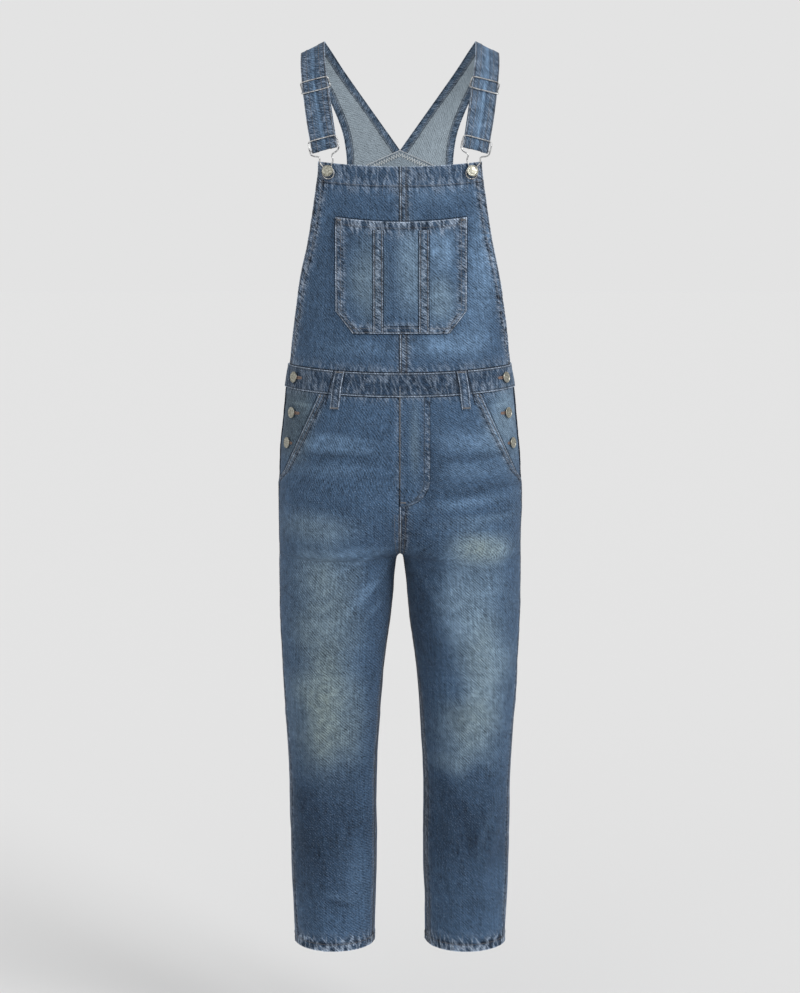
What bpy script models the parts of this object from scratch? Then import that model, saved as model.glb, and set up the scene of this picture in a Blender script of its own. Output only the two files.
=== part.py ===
"""Denim dungarees, filled out as if worn: a bib and a back panel joined by two buckled straps, over straight
cropped trousers with a waistband, slant pockets and buttoned side openings.

Metres, +Z up, the wearer faces -Y. The origin lies midway between the two shoulders, at the level where the
straps bear on them. Every cloth piece is a wall laid on one skin, which is worked out from SECTIONS: at each
height the skin is a ring, one for the hips and one for each leg, and a place on it is an angle and a height.
"""

import math
from collections import namedtuple

import bmesh
import bpy
from mathutils import Matrix, Vector

# ---------------------------------------------------------------- driving sizes
DENIM = 0.0015  # one layer of cloth
SEAM_GAP = 0.0003  # between two panels that are sewn edge to edge
LAYER_GAP = 0.00045  # between a panel and what is sewn on it
HEM_RISE = 0.0008  # how far a turned hem or a felled seam stands proud
EDGE_BAND = 0.011  # width of a felled seam, a pocket facing or a bib's side hem
STEP = 0.0012  # width of the slope at the edge of a raised band

HEM_LEVEL = -1.420
HEM_DEPTH = 0.013
CROTCH_LEVEL = -0.7855

WAIST_TOP, WAIST_BOTTOM = -0.4885, -0.5235  # at the sides
WAIST_DIP = 0.008  # how much lower the waistband lies at the centre front
WAIST_RISE = 0.012  # how much higher it lies at the centre back
WAIST_HALF_WIDTH = 0.175
WAISTBAND = 0.0026
WAISTBAND_PROUD = 0.0008
OPENING_ANGLE = 4.0  # degrees behind the side line, where the front overlaps the back

BIB_TOP, BIB_TOP_DIP, BIB_TOP_HALF = -0.1811, 0.0078, 0.122
BIB_HEM_DEPTH = 0.030
BIB_POCKET_TOP, BIB_POCKET_BOTTOM, BIB_POCKET_DIP = -0.2632, -0.4360, 0.0070
BIB_POCKET_HALF, BIB_POCKET_CENTRE = 0.0970, 0.0015
BIB_POCKET_HEM = 0.011
CORNER_HIGH, CORNER_WIDE = 0.033, 0.025  # the cut-off lower corners of the bib pocket
DIVIDER_X, DIVIDER_WIDE = 0.0340, 0.0135  # from the pocket's centre to a divider's centre
DIVIDER_IN = 0.002  # from a divider's ends to the pocket's hem and its lower edge

BACK_PEAK, BACK_SLOPE = -0.1598, 0.450  # the back panel's roof-shaped upper edge

SLANT_TOP_X, SLANT_BOTTOM_X, SLANT_BOTTOM = 0.1205, 0.1870, -0.672
SLANT_CURVE, SLANT_END = -0.648, -0.690  # where the pocket's edge bends off its line and meets the seam
OPENING_END = 0.030  # how far above that the back panel's edge bends off the opening's line
BEARER_UNDERLAP = 0.016
BEARER_BOTTOM = -0.702
BEHIND_GAP = 0.0016  # between a panel and what lies behind it
STAND_GAP = 0.0010  # between the pocket bearer and the button stand
STAND_BOTTOM = -0.710
STAND_FRONT, STAND_BACK = -20.0, 16.0  # degrees

FLY_WIDE, FLY_BOTTOM = 0.0455, -0.6975
FLY_STRAIGHT, FLY_TIP = 0.72, 0.004  # how far down the fly's edge runs straight, and its width at the end
THIN_DENIM = 0.0010  # a strip that is sewn down flat
LOOP_WIDE, LOOP_THICK, LOOP_STANDS_OFF = 0.013, 0.0018, 0.0030
LOOP_TOP_LAP, LOOP_BOTTOM_LAP = 0.001, 0.023  # beyond the waistband's two edges
LOOP_BEND = 0.76  # how far down a loop it is back on the cloth

STRAP_THICK = 0.0020
STRAP_WIDE = 0.0385
WIRE = 0.0011  # radius of the buckle wire
BAR_SLIMMER = 0.93  # a welded bar's radius, as a share of the wire's
SLIDER_HALF = 0.0104  # from the slider's middle bar to each front bar
BUTTON_LEAN = 12.0  # degrees by which a pulled bib button leans up
BUTTON_SEGMENTS = 14

# ---------------------------------------------------------------- tables
Section = namedtuple("Section", "z outer peak inner front back middle power")
SECTIONS = [  # in X a ring reaches from inner to outer and is deepest at peak, in Y from front to back
    Section(-0.1000, 0.1860, 0.0000, -0.1860, -0.1130, 0.1060, 0.000, 2.8),
    Section(-0.1840, 0.1850, 0.0000, -0.1850, -0.1165, 0.1060, 0.000, 2.8),
    Section(-0.2700, 0.1830, 0.0000, -0.1830, -0.1175, 0.1040, 0.000, 2.7),
    Section(-0.3600, 0.1780, 0.0000, -0.1780, -0.1140, 0.0960, 0.000, 2.5),
    Section(-0.4300, 0.1728, 0.0000, -0.1728, -0.1095, 0.0900, 0.000, 2.3),
    Section(-0.4885, 0.1722, 0.0000, -0.1722, -0.1070, 0.0905, 0.000, 2.15),
    Section(-0.5090, 0.1757, 0.0000, -0.1757, -0.1080, 0.0955, 0.000, 2.1),
    Section(-0.5340, 0.1793, 0.0000, -0.1793, -0.1095, 0.1040, 0.000, 2.1),
    Section(-0.5840, 0.1840, 0.0000, -0.1840, -0.1130, 0.1180, 0.000, 2.1),
    Section(-0.6340, 0.1884, 0.0140, -0.1884, -0.1145, 0.1290, 0.001, 2.05),
    Section(-0.7000, 0.1898, 0.0500, -0.1700, -0.1130, 0.1320, 0.002, 2.0),
    Section(-0.7300, 0.1896, 0.0660, -0.1150, -0.1085, 0.1278, 0.003, 2.0),
    Section(-0.7570, 0.1890, 0.0790, -0.0600, -0.1035, 0.1220, 0.004, 2.0),
    Section(-0.7755, 0.1886, 0.0870, -0.0220, -0.1000, 0.1175, 0.005, 2.0),
    Section(-0.7855, 0.1886, 0.0905, 0.0002, -0.0985, 0.1150, 0.006, 2.0),
    Section(-0.7900, 0.1887, 0.0920, 0.0042, -0.0978, 0.1140, 0.006, 2.0),
    Section(-0.7980, 0.1888, 0.0945, 0.0064, -0.0965, 0.1125, 0.006, 2.0),
    Section(-0.8125, 0.1890, 0.0980, 0.0082, -0.0945, 0.1105, 0.007, 2.0),
    Section(-0.8640, 0.1894, 0.1005, 0.0126, -0.0895, 0.1060, 0.008, 2.0),
    Section(-0.9150, 0.1876, 0.1030, 0.0190, -0.0850, 0.1020, 0.009, 2.0),
    Section(-0.9670, 0.1856, 0.1055, 0.0254, -0.0805, 0.0985, 0.010, 2.0),
    Section(-1.0190, 0.1832, 0.1065, 0.0300, -0.0760, 0.0955, 0.011, 2.0),
    Section(-1.0710, 0.1800, 0.1065, 0.0332, -0.0710, 0.0930, 0.013, 2.0),
    Section(-1.1230, 0.1772, 0.1065, 0.0364, -0.0665, 0.0905, 0.015, 2.0),
    Section(-1.1750, 0.1758, 0.1065, 0.0375, -0.0620, 0.0890, 0.016, 2.0),
    Section(-1.2280, 0.1758, 0.1065, 0.0370, -0.0580, 0.0880, 0.018, 2.0),
    Section(-1.2810, 0.1750, 0.1060, 0.0372, -0.0545, 0.0870, 0.019, 2.0),
    Section(-1.3340, 0.1735, 0.1060, 0.0386, -0.0510, 0.0860, 0.020, 2.0),
    Section(-1.3870, 0.1708, 0.1055, 0.0402, -0.0480, 0.0850, 0.021, 2.0),
    Section(-1.4250, 0.1692, 0.1050, 0.0411, -0.0465, 0.0845, 0.021, 2.0),
]

FOLD_ENDS = 0.35  # a fold's height at its two ends, as a share of its middle's
FOLD_SIDES = 1.4  # how quickly the folds come up from nothing at the sides

SeamTurn = namedtuple("SeamTurn", "z inseam outseam")
SEAM_TURNS = [  # degrees by which the two leg seams are turned to the front
    SeamTurn(-0.600, 0.0, 3.0),
    SeamTurn(-0.7855, 0.0, 3.0),
    SeamTurn(-0.880, 5.0, 5.0),
    SeamTurn(-1.020, 14.0, 11.0),
    SeamTurn(-1.200, 19.0, 16.0),
    SeamTurn(-1.430, 20.0, 16.0),
]

Edge = namedtuple("Edge", "z half_width")
BIB_EDGE = [
    Edge(-0.180, 0.1215),
    Edge(-0.240, 0.1285),
    Edge(-0.300, 0.1385),
    Edge(-0.360, 0.1510),
    Edge(-0.420, 0.1605),
    Edge(-0.470, 0.1668),
    Edge(-0.500, 0.1700),
]
BACK_EDGE = [
    Edge(-0.150, 0.0850),
    Edge(-0.188, 0.0830),
    Edge(-0.240, 0.0850),
    Edge(-0.310, 0.0960),
    Edge(-0.370, 0.1130),
    Edge(-0.420, 0.1330),
    Edge(-0.460, 0.1520),
    Edge(-0.4885, 0.1680),
    Edge(-0.500, 0.1695),
]

Fold = namedtuple("Fold", "face x0 z0 x1 z1 half_width height")
FOLDS = [  # soft troughs and ridges between two places seen from the front, on one face of the legs
    Fold("front", 0.086, -1.130, 0.112, -1.285, 0.013, -0.0045),
    Fold("front", 0.158, -1.180, 0.124, -1.300, 0.010, 0.0030),
    Fold("front", 0.108, -1.120, 0.152, -1.150, 0.010, -0.0030),
    Fold("front", 0.050, -1.180, 0.070, -1.250, 0.014, -0.0030),
    Fold("front", 0.085, -1.345, 0.140, -1.355, 0.012, -0.0025),
    Fold("front", 0.020, -0.800, 0.085, -0.850, 0.013, 0.0020),
    Fold("front", 0.070, -0.690, 0.150, -0.675, 0.012, -0.0020),
    Fold("front", -0.165, -1.130, -0.152, -1.240, 0.010, 0.0030),
    Fold("front", -0.125, -1.350, -0.082, -1.368, 0.010, -0.0035),
    Fold("front", -0.060, -1.100, -0.085, -1.240, 0.016, -0.0030),
    Fold("front", -0.020, -0.800, -0.085, -0.835, 0.012, 0.0020),
    Fold("front", -0.045, -0.850, -0.090, -0.905, 0.012, 0.0022),
    Fold("front", -0.160, -0.700, -0.060, -0.695, 0.012, -0.0020),
    Fold("back", 0.030, -0.815, 0.140, -0.850, 0.015, 0.0030),
    Fold("back", -0.030, -0.815, -0.135, -0.845, 0.015, 0.0030),
    Fold("back", 0.050, -0.860, 0.130, -0.895, 0.014, -0.0030),
    Fold("back", -0.050, -0.855, -0.125, -0.885, 0.014, -0.0030),
    Fold("back", 0.060, -1.060, 0.150, -1.085, 0.014, -0.0040),
    Fold("back", -0.060, -1.065, -0.150, -1.085, 0.014, -0.0040),
    Fold("back", 0.070, -1.120, 0.140, -1.100, 0.013, 0.0030),
    Fold("back", -0.070, -1.120, -0.140, -1.105, 0.013, 0.0030),
]

StrapStation = namedtuple("StrapStation", "inner_x inner_y inner_z outer_x outer_y outer_z")
STRAP = [  # the strap's two edges, from its seam on the back panel over the shoulder to the buckle
    StrapStation(0.0002, 0.1053, -0.1598, 0.0832, 0.1010, -0.1972),
    StrapStation(0.0150, 0.1056, -0.1390, 0.0850, 0.1015, -0.1640),
    StrapStation(0.0290, 0.1040, -0.1195, 0.0905, 0.0995, -0.1330),
    StrapStation(0.0470, 0.0990, -0.0945, 0.1010, 0.0940, -0.1040),
    StrapStation(0.0680, 0.0880, -0.0655, 0.1130, 0.0830, -0.0780),
    StrapStation(0.0880, 0.0680, -0.0375, 0.1265, 0.0640, -0.0530),
    StrapStation(0.1030, 0.0420, -0.0150, 0.1390, 0.0400, -0.0325),
    StrapStation(0.1115, 0.0200, -0.0030, 0.1470, 0.0190, -0.0205),
    StrapStation(0.1145, 0.0000, 0.0003, 0.1495, 0.0000, -0.0172),
    StrapStation(0.1145, -0.0200, -0.0070, 0.1500, -0.0180, -0.0220),
    StrapStation(0.1130, -0.0410, -0.0280, 0.1495, -0.0360, -0.0400),
    StrapStation(0.1086, -0.0633, -0.0644, 0.1461, -0.0574, -0.0733),
    StrapStation(0.1020, -0.0880, -0.1120, 0.1395, -0.0830, -0.1205),
    StrapStation(0.0944, -0.1125, -0.1560, 0.1310, -0.1085, -0.1655),
]
SLIDER_STATION = 11  # the row of STRAP where the slider sits

ButtonPlace = namedtuple("ButtonPlace", "name x z lift")
BIB_BUTTON = ButtonPlace("bib_button", 0.1055, -0.1965, 0.0)
SIDE_BUTTONS = [  # on the waistband, and below it on the pocket bearer
    ButtonPlace("waist_button", 0.1600, -0.5070, WAISTBAND_PROUD),
    ButtonPlace("hip_button_upper", 0.1672, -0.5610, -DENIM - BEHIND_GAP),
    ButtonPlace("hip_button_lower", 0.1752, -0.6080, -DENIM - BEHIND_GAP),
]

LoopPlace = namedtuple("LoopPlace", "name face top_x bottom_x")
LOOPS = [
    LoopPlace("belt_loop_front_left", "front", -0.0900, -0.0990),
    LoopPlace("belt_loop_front_right", "front", 0.0915, 0.1000),
    LoopPlace("belt_loop_back_left", "back", -0.1050, -0.1080),
    LoopPlace("belt_loop_back_centre", "back", 0.0, 0.0),
    LoopPlace("belt_loop_back_right", "back", 0.1050, 0.1080),
]

# ---------------------------------------------------------------- the skin
HALVINGS = 40  # steps in the search for an angle
NEAR_ANGLE, NEAR_HEIGHT = 0.2, 0.0006  # steps that measure a direction on the skin


def smooth(rows, z):
    """The row of a table at height z, between its rows by a monotone cubic, which never overshoots them."""
    if z >= rows[0].z:
        return rows[0]
    if z <= rows[-1].z:
        return rows[-1]
    i = next(k for k in range(len(rows) - 1) if rows[k + 1].z <= z)
    span = rows[i + 1].z - rows[i].z
    t = (z - rows[i].z) / span

    def slope(k, column):
        """The slope at row k: the harmonic mean of the slopes on its two sides, or 0 at a turning point."""
        if k == 0 or k == len(rows) - 1:
            return 0.0
        before = (rows[k][column] - rows[k - 1][column]) / (rows[k].z - rows[k - 1].z)
        after = (rows[k + 1][column] - rows[k][column]) / (rows[k + 1].z - rows[k].z)
        return 0.0 if before * after <= 0 else 2 * before * after / (before + after)

    values = [z]
    for c in range(1, len(rows[0])):
        start, end = rows[i][c], rows[i + 1][c]
        leave, arrive = slope(i, c) * span, slope(i + 1, c) * span
        values.append(
            (2 * t**3 - 3 * t**2 + 1) * start
            + (t**3 - 2 * t**2 + t) * leave
            + (3 * t**2 - 2 * t**3) * end
            + (t**3 - t**2) * arrive
        )
    return type(rows[0])(*values)


def ring(angle, z):
    """The skin's point at an angle in degrees, -90 in front and 0 at the side, before the folds."""
    s = smooth(SECTIONS, z)
    c, d = math.cos(math.radians(angle)), math.sin(math.radians(angle))
    c = math.copysign(abs(c) ** (2 / s.power), c)
    d = math.copysign(abs(d) ** (2 / s.power), d)
    reach = s.outer - s.peak if c > 0 else s.peak - s.inner
    depth = s.middle - s.front if d < 0 else s.back - s.middle
    return Vector((s.peak + reach * c, s.middle + depth * d, z))


def angle_at(x, z, face="front"):
    """The angle where the ring at height z is x from the centre plane, on its front or its back."""
    low, high = (-180.0, 0.0) if face == "front" else (180.0, 0.0)
    for _ in range(HALVINGS):
        mid = (low + high) / 2
        if ring(mid, z).x < x:
            low = mid
        else:
            high = mid
    return (low + high) / 2


def outward(angle, z):
    """The direction that points out of the skin."""
    turn = ring(angle + NEAR_ANGLE, z) - ring(angle - NEAR_ANGLE, z)
    climb = ring(angle, z + NEAR_HEIGHT) - ring(angle, z - NEAR_HEIGHT)
    return turn.cross(climb).normalized()


def fold_height(point, normal, side):
    """How far the folds move a place of the skin out. side is -1 where x is below 0."""
    face = "front" if normal.y < 0 else "back"
    total = 0.0
    for fold in FOLDS:
        if fold.face != face or fold.x0 * side < 0:
            continue
        start = Vector((abs(fold.x0), fold.z0))
        along = Vector((abs(fold.x1), fold.z1)) - start
        away = Vector((point.x, point.z)) - start
        t = min(1.0, max(0.0, away.dot(along) / along.length_squared))
        distance = (away - along * t).length
        fade = blend(FOLD_ENDS, 1.0, math.sin(math.pi * t))
        total += fold.height * fade * math.exp(-((distance / fold.half_width) ** 2))
    return total * min(1.0, abs(normal.y) * FOLD_SIDES)


def skin(angle, z, lift=0.0, side=1):
    """The place at an angle and a height, moved out by lift. side -1 gives its mirror image."""
    normal = outward(angle, z)
    point = ring(angle, z)
    point += normal * (lift + fold_height(point, normal, side))
    return Vector((point.x * side, point.y, point.z))


def waist_line(level, x, face):
    """The height of a waistband edge, which dips at the centre front and rises at the centre back."""
    bend = max(0.0, 1 - (x / WAIST_HALF_WIDTH) ** 2)
    return level - WAIST_DIP * bend if face == "front" else level + WAIST_RISE * bend


def waist_height(level, angle, face):
    """The height of a waistband edge at an angle."""
    z = level
    for _ in range(4):
        z = waist_line(level, ring(angle, z).x, face)
    return z


def blend(a, b, t):
    return a + (b - a) * t


def spread(start, end, count):
    """count + 1 even steps from start to end."""
    return [blend(start, end, i / count) for i in range(count + 1)]


def degrees_of(length, angle, z):
    """The angle that a short length takes up along the ring."""
    return length * 2 * NEAR_ANGLE / (ring(angle + NEAR_ANGLE, z) - ring(angle - NEAR_ANGLE, z)).length


Line = namedtuple("Line", "share back")  # a grid line: a share of the way across, then a distance back


def lines(count, band, near=0.0):
    """The grid lines of a piece whose far edge is a raised band, and its near edge too where near isn't 0."""
    slope, start = band + STEP, near + STEP if near else 0.0
    field = [Line(i / count, blend(-start, slope, i / count)) for i in range(count + 1)]
    near_lines = [Line(0.0, 0.0), Line(0.0, -near)] if near else []
    return near_lines + field + [Line(1.0, band), Line(1.0, 0.0)]


def on_band(line, band, near=0.0):
    """Whether a grid line is part of a raised band."""
    if near and line.share == 0.0:
        return -line.back < near + STEP / 2
    return line.share == 1.0 and line.back < band + STEP / 2


# ---------------------------------------------------------------- making solids


def material(name, colour, roughness, metallic=0.0):
    made = bpy.data.materials.new(name)
    made.use_nodes = True
    shader = made.node_tree.nodes["Principled BSDF"]
    shader.inputs["Base Color"].default_value = (*colour, 1.0)
    shader.inputs["Roughness"].default_value = roughness
    shader.inputs["Metallic"].default_value = metallic
    return made


def add_object(name, mesh, finish, collection):
    mesh.materials.clear()
    mesh.materials.append(finish)
    made = bpy.data.objects.new(name, mesh)
    collection.objects.link(made)
    return made


def wall(name, outer, inner, columns, rows, finish, collection):
    """A closed wall: a grid whose corners outer(u, v) places, a second one placed by inner, and a rim.

    columns and rows are the values of u and v at the grid's lines.
    """
    bm = bmesh.new()
    wide, high = len(columns), len(rows)
    for place in (outer, inner):
        bmesh.ops.create_grid(bm, x_segments=wide - 1, y_segments=high - 1, size=0.5)
        bm.verts.ensure_lookup_table()
        sheet = bm.verts[len(bm.verts) - wide * high :]
        for i, corner in enumerate(sheet):
            corner.co = place(columns[i % wide], rows[i // wide])
    bm.verts.ensure_lookup_table()
    bm.faces.ensure_lookup_table()
    count = wide * high
    bmesh.ops.reverse_faces(bm, faces=bm.faces[len(bm.faces) // 2 :])
    rims = [e for e in bm.edges if e.is_boundary and e.verts[0].index < count and e.verts[1].index < count]
    for edge in rims:
        a, b = edge.link_loops[0].vert, edge.link_loops[0].link_loop_next.vert
        bm.faces.new((b, a, bm.verts[a.index + count], bm.verts[b.index + count]))
    if bm.calc_volume(signed=True) < 0:
        bmesh.ops.reverse_faces(bm, faces=bm.faces)
    mesh = bpy.data.meshes.new(name)
    bm.to_mesh(mesh)
    bm.free()
    mesh.shade_smooth()
    mesh.set_sharp_from_angle(angle=math.radians(40))
    return add_object(name, mesh, finish, collection)


def skin_wall(name, place, columns, rows, finish, collection, top=0.0, thick=DENIM, raised=None, side=1):
    """A wall on the skin. place(u, v) gives an angle and a height, and raised(u, v) a further lift."""

    def outer(u, v):
        angle, z = place(u, v)
        return skin(angle, z, top + (raised(u, v) if raised else 0.0), side)

    def inner(u, v):
        angle, z = place(u, v)
        return skin(angle, z, top - thick, side)

    return wall(name, outer, inner, columns, rows, finish, collection)


def wire_mesh(name, points, radius, closed):
    """A round wire through points, as a closed mesh."""
    curve = bpy.data.curves.new(name, "CURVE")
    curve.dimensions = "3D"
    curve.bevel_depth = radius
    curve.bevel_resolution = 2
    curve.use_fill_caps = True
    line = curve.splines.new("POLY")
    line.points.add(len(points) - 1)
    for place, point in zip(line.points, points):
        place.co = (*point, 1.0)
    line.use_cyclic_u = closed
    guide = bpy.data.objects.new(name + "_curve", curve)
    bpy.context.scene.collection.objects.link(guide)
    bpy.context.view_layer.update()
    graph = bpy.context.evaluated_depsgraph_get()
    mesh = bpy.data.meshes.new_from_object(guide.evaluated_get(graph))
    bpy.data.objects.remove(guide)
    bm = bmesh.new()
    bm.from_mesh(mesh)
    bmesh.ops.remove_doubles(bm, verts=bm.verts, dist=0.00001)
    bmesh.ops.recalc_face_normals(bm, faces=bm.faces)
    bm.to_mesh(mesh)
    bm.free()
    mesh.shade_smooth()
    return mesh


def join_bar(target, start, end, helpers):
    """Joins a straight bar to a wire frame, as where it is welded on."""
    bm = bmesh.new()
    along = end - start
    radius = WIRE * BAR_SLIMMER
    bmesh.ops.create_cone(bm, cap_ends=True, segments=8, radius1=radius, radius2=radius, depth=along.length)
    turn = along.to_track_quat("Z", "Y").to_matrix().to_4x4()
    bmesh.ops.transform(bm, matrix=Matrix.Translation((start + end) / 2) @ turn, verts=bm.verts)
    mesh = bpy.data.meshes.new(target.name + "_bar")
    bm.to_mesh(mesh)
    bm.free()
    bar = bpy.data.objects.new(target.name + "_bar", mesh)
    helpers.objects.link(bar)
    bar.hide_render = True
    bar.display_type = "WIRE"
    union = target.modifiers.new("bar", "BOOLEAN")
    union.operation = "UNION"
    union.object = bar


def through(points, steps):
    """A smooth line through points, with steps pieces between each two."""
    line = []
    last = len(points) - 1
    for i in range(last):
        before, start = points[max(0, i - 1)], points[i]
        end, after = points[i + 1], points[min(last, i + 2)]
        for k in range(steps):
            t = k / steps
            line.append(
                0.5
                * (
                    2 * start
                    + (end - before) * t
                    + (2 * before - 5 * start + 4 * end - after) * t * t
                    + (3 * start - before - 3 * end + after) * t**3
                )
            )
    line.append(points[-1])
    return line


# ---------------------------------------------------------------- legs


def inseam_angle(z):
    """Where the front leg panel begins: at the centre plane above the crotch, and at the inseam below it."""
    if z > CROTCH_LEVEL:
        return angle_at(SEAM_GAP / 2, z, "front")
    return -180.0 + smooth(SEAM_TURNS, z).inseam


def inseam_angle_behind(z):
    """Where the back leg panel ends."""
    if z > CROTCH_LEVEL:
        return angle_at(SEAM_GAP / 2, z, "back")
    return 180.0 + smooth(SEAM_TURNS, z).inseam


def slant_x(z):
    """The slant pocket's edge, from the waistband down to the side."""
    return blend(SLANT_TOP_X, SLANT_BOTTOM_X, (WAIST_BOTTOM - z) / (WAIST_BOTTOM - SLANT_BOTTOM))


def front_outer_angle(z):
    """The outer edge of the front leg panel: the slant pocket's edge, which curves into the outseam."""
    seam = -smooth(SEAM_TURNS, z).outseam
    t = min(1.0, max(0.0, (SLANT_CURVE - z) / (SLANT_CURVE - SLANT_END)))
    slant = angle_at(slant_x(max(z, SLANT_BOTTOM)), z)
    return blend(slant, seam, t * t * (3 - 2 * t))


def back_outer_angle(z):
    """The outer edge of the back leg panel: behind the side opening, and below it the outseam."""
    seam = -smooth(SEAM_TURNS, z).outseam
    t = min(1.0, max(0.0, (z - SLANT_END) / OPENING_END))
    return blend(seam, OPENING_ANGLE, t * t * (3 - 2 * t))


FRONT_TOP_LEVELS = [0.0, 0.13, 0.26, 0.38, 0.48, 0.56, 0.63, 0.70, 0.76, 0.81, 0.86, 0.91, 0.955, 1.0]
BACK_TOP_LEVELS = spread(0.0, 1.0, 7)
CROTCH_LEVELS = spread(1.0, 2.0, 5)[1:] + [2.01, 2.03]  # the crotch's curve, and just below it
LOW_LEVELS = CROTCH_LEVELS + spread(2.06, 3.0, 14)
CURVE_TOP = -0.700  # where the crotch's curve begins


def leg_height(level, x, face):
    """A row's height: level 0 is the waistband, 1 the top of the crotch's curve, 2 the crotch, 3 the hem."""
    top = waist_line(WAIST_BOTTOM, x, face) - SEAM_GAP
    if level <= 1:
        return blend(top, CURVE_TOP, level)
    if level <= 2:
        return blend(CURVE_TOP, CROTCH_LEVEL, math.sin((level - 1) * math.pi / 2))
    return blend(CROTCH_LEVEL, HEM_LEVEL, level - 2)


def leg_rows(top_levels):
    """The rows of a leg panel, with two close ones where the hem's band begins."""
    hem_line = 3 - HEM_DEPTH / (CROTCH_LEVEL - HEM_LEVEL)
    step = STEP / (CROTCH_LEVEL - HEM_LEVEL)
    rows = [row for row in top_levels + LOW_LEVELS if row < hem_line - 2 * step]
    return rows + [hem_line - step, hem_line, 3.0]


def in_hem(level):
    return level > 3 - (HEM_DEPTH + STEP / 2) / (CROTCH_LEVEL - HEM_LEVEL)


def front_leg(name, finish, collection, side):
    """A front leg panel. The slant pocket's edge, and the outseam below it, are raised bands."""

    def place(line, level):
        flat = leg_height(level, WAIST_HALF_WIDTH, "front")
        first, last = inseam_angle(leg_height(level, 0.0, "front")), front_outer_angle(flat)
        if level >= 2:
            first += degrees_of(SEAM_GAP / 2, first, flat)
        last -= degrees_of(SEAM_GAP / 2, last, flat)
        angle = blend(first, last, line.share) - degrees_of(line.back, last, flat)
        return angle, leg_height(level, ring(angle, flat).x, "front")

    def raised(line, level):
        return HEM_RISE if on_band(line, EDGE_BAND) or in_hem(level) else 0.0

    columns, rows = lines(8, EDGE_BAND), leg_rows(FRONT_TOP_LEVELS)
    return skin_wall(name, place, columns, rows, finish, collection, raised=raised, side=side)


def back_leg(name, finish, collection, side):
    """A back leg panel, from the outseam or the side opening to the inseam or the seat seam."""

    def place(u, level):
        flat = leg_height(level, WAIST_HALF_WIDTH, "back")
        first, last = back_outer_angle(flat), inseam_angle_behind(leg_height(level, 0.0, "back"))
        first += degrees_of(SEAM_GAP / 2, first, flat)
        if level >= 2:
            last -= degrees_of(SEAM_GAP / 2, last, flat)
        angle = blend(first, last, u)
        return angle, leg_height(level, ring(angle, flat).x, "back")

    def raised(u, level):
        return HEM_RISE if in_hem(level) else 0.0

    columns, rows = spread(0, 1, 14), leg_rows(BACK_TOP_LEVELS)
    return skin_wall(name, place, columns, rows, finish, collection, raised=raised, side=side)


def pocket_bearer(name, finish, collection, side):
    """The cloth seen behind the slant pocket, which also carries the side opening's buttonholes."""

    def place(u, v):
        z = blend(WAIST_BOTTOM - SEAM_GAP, BEARER_BOTTOM, v)
        first = angle_at(min(slant_x(z), SLANT_BOTTOM_X) - BEARER_UNDERLAP, z)
        last = back_outer_angle(z)
        angle = blend(first, last - degrees_of(SEAM_GAP / 2, last, z), u)
        return angle, blend(waist_height(WAIST_BOTTOM, angle, "front") - SEAM_GAP, BEARER_BOTTOM, v)

    top = -DENIM - BEHIND_GAP
    return skin_wall(name, place, spread(0, 1, 10), spread(0, 1, 12), finish, collection, top=top, side=side)


def button_stand(name, finish, collection, side):
    """The strip under the side opening that the buttons are fixed to."""

    def place(u, v):
        return blend(STAND_FRONT, STAND_BACK, u), blend(WAIST_TOP - STAND_GAP, STAND_BOTTOM, v)

    top = -2 * DENIM - BEHIND_GAP - STAND_GAP
    rows = spread(0, 0.24, 3) + spread(0.24, 1, 7)[1:]
    return skin_wall(name, place, spread(0, 1, 5), rows, finish, collection, top=top, side=side)


# ---------------------------------------------------------------- waistband, bib and back


def waistband(name, start, end, face, count, finish, collection, side=1):
    """A stretch of the waistband between two angles."""

    def place(u, v):
        angle = blend(start, end, u)
        return angle, blend(waist_height(WAIST_TOP, angle, face), waist_height(WAIST_BOTTOM, angle, face), v)

    grid = spread(0, 1, count), spread(0, 1, 3)
    return skin_wall(name, place, *grid, finish, collection, top=WAISTBAND_PROUD, thick=WAISTBAND, side=side)


def bib_panel(name, finish, collection, side):
    """Half of the bib, from the centre seam to its side hem. The right half carries the felled seam."""
    hem = BIB_HEM_DEPTH / (BIB_TOP - WAIST_TOP)
    hem_end = hem + STEP / (BIB_TOP - WAIST_TOP)
    felled = EDGE_BAND if side > 0 else 0.0

    def place(line, v):
        half = smooth(BIB_EDGE, blend(BIB_TOP, WAIST_TOP, v)).half_width
        x = blend(SEAM_GAP / 2, half, line.share) - line.back
        top = BIB_TOP - BIB_TOP_DIP * (1 - (x / BIB_TOP_HALF) ** 2)
        z = blend(top, waist_line(WAIST_TOP, x, "front") + SEAM_GAP, v)
        return angle_at(x, z), z

    def raised(line, v):
        return HEM_RISE if on_band(line, EDGE_BAND, felled) or v < hem_end else 0.0

    columns = lines(6, EDGE_BAND, felled)
    rows = [0.0, hem / 2, hem] + spread(hem_end, 1.0, 10)
    return skin_wall(name, place, columns, rows, finish, collection, raised=raised, side=side)


def back_panel(name, finish, collection):
    """The back panel above the waistband, with a roof-shaped upper edge that carries both straps."""

    def place(u, v):
        flat = blend(BACK_PEAK - 0.037, WAIST_TOP + WAIST_RISE, v)
        x = smooth(BACK_EDGE, flat).half_width * u
        bottom = waist_line(WAIST_TOP, x, "back") + SEAM_GAP
        z = blend(BACK_PEAK - SEAM_GAP - BACK_SLOPE * abs(x), bottom, v)
        return angle_at(x, z, "back"), z

    rows = [0.0, 0.05] + spread(0.12, 1.0, 9)
    return skin_wall(name, place, spread(-1, 1, 14), rows, finish, collection)


# ---------------------------------------------------------------- what is sewn on


def bib_pocket_half(z):
    """Half the bib pocket's width, less where its lower corners are cut off."""
    below = max(0.0, BIB_POCKET_BOTTOM + CORNER_HIGH - z)
    return BIB_POCKET_HALF - CORNER_WIDE * below / CORNER_HIGH


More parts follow.
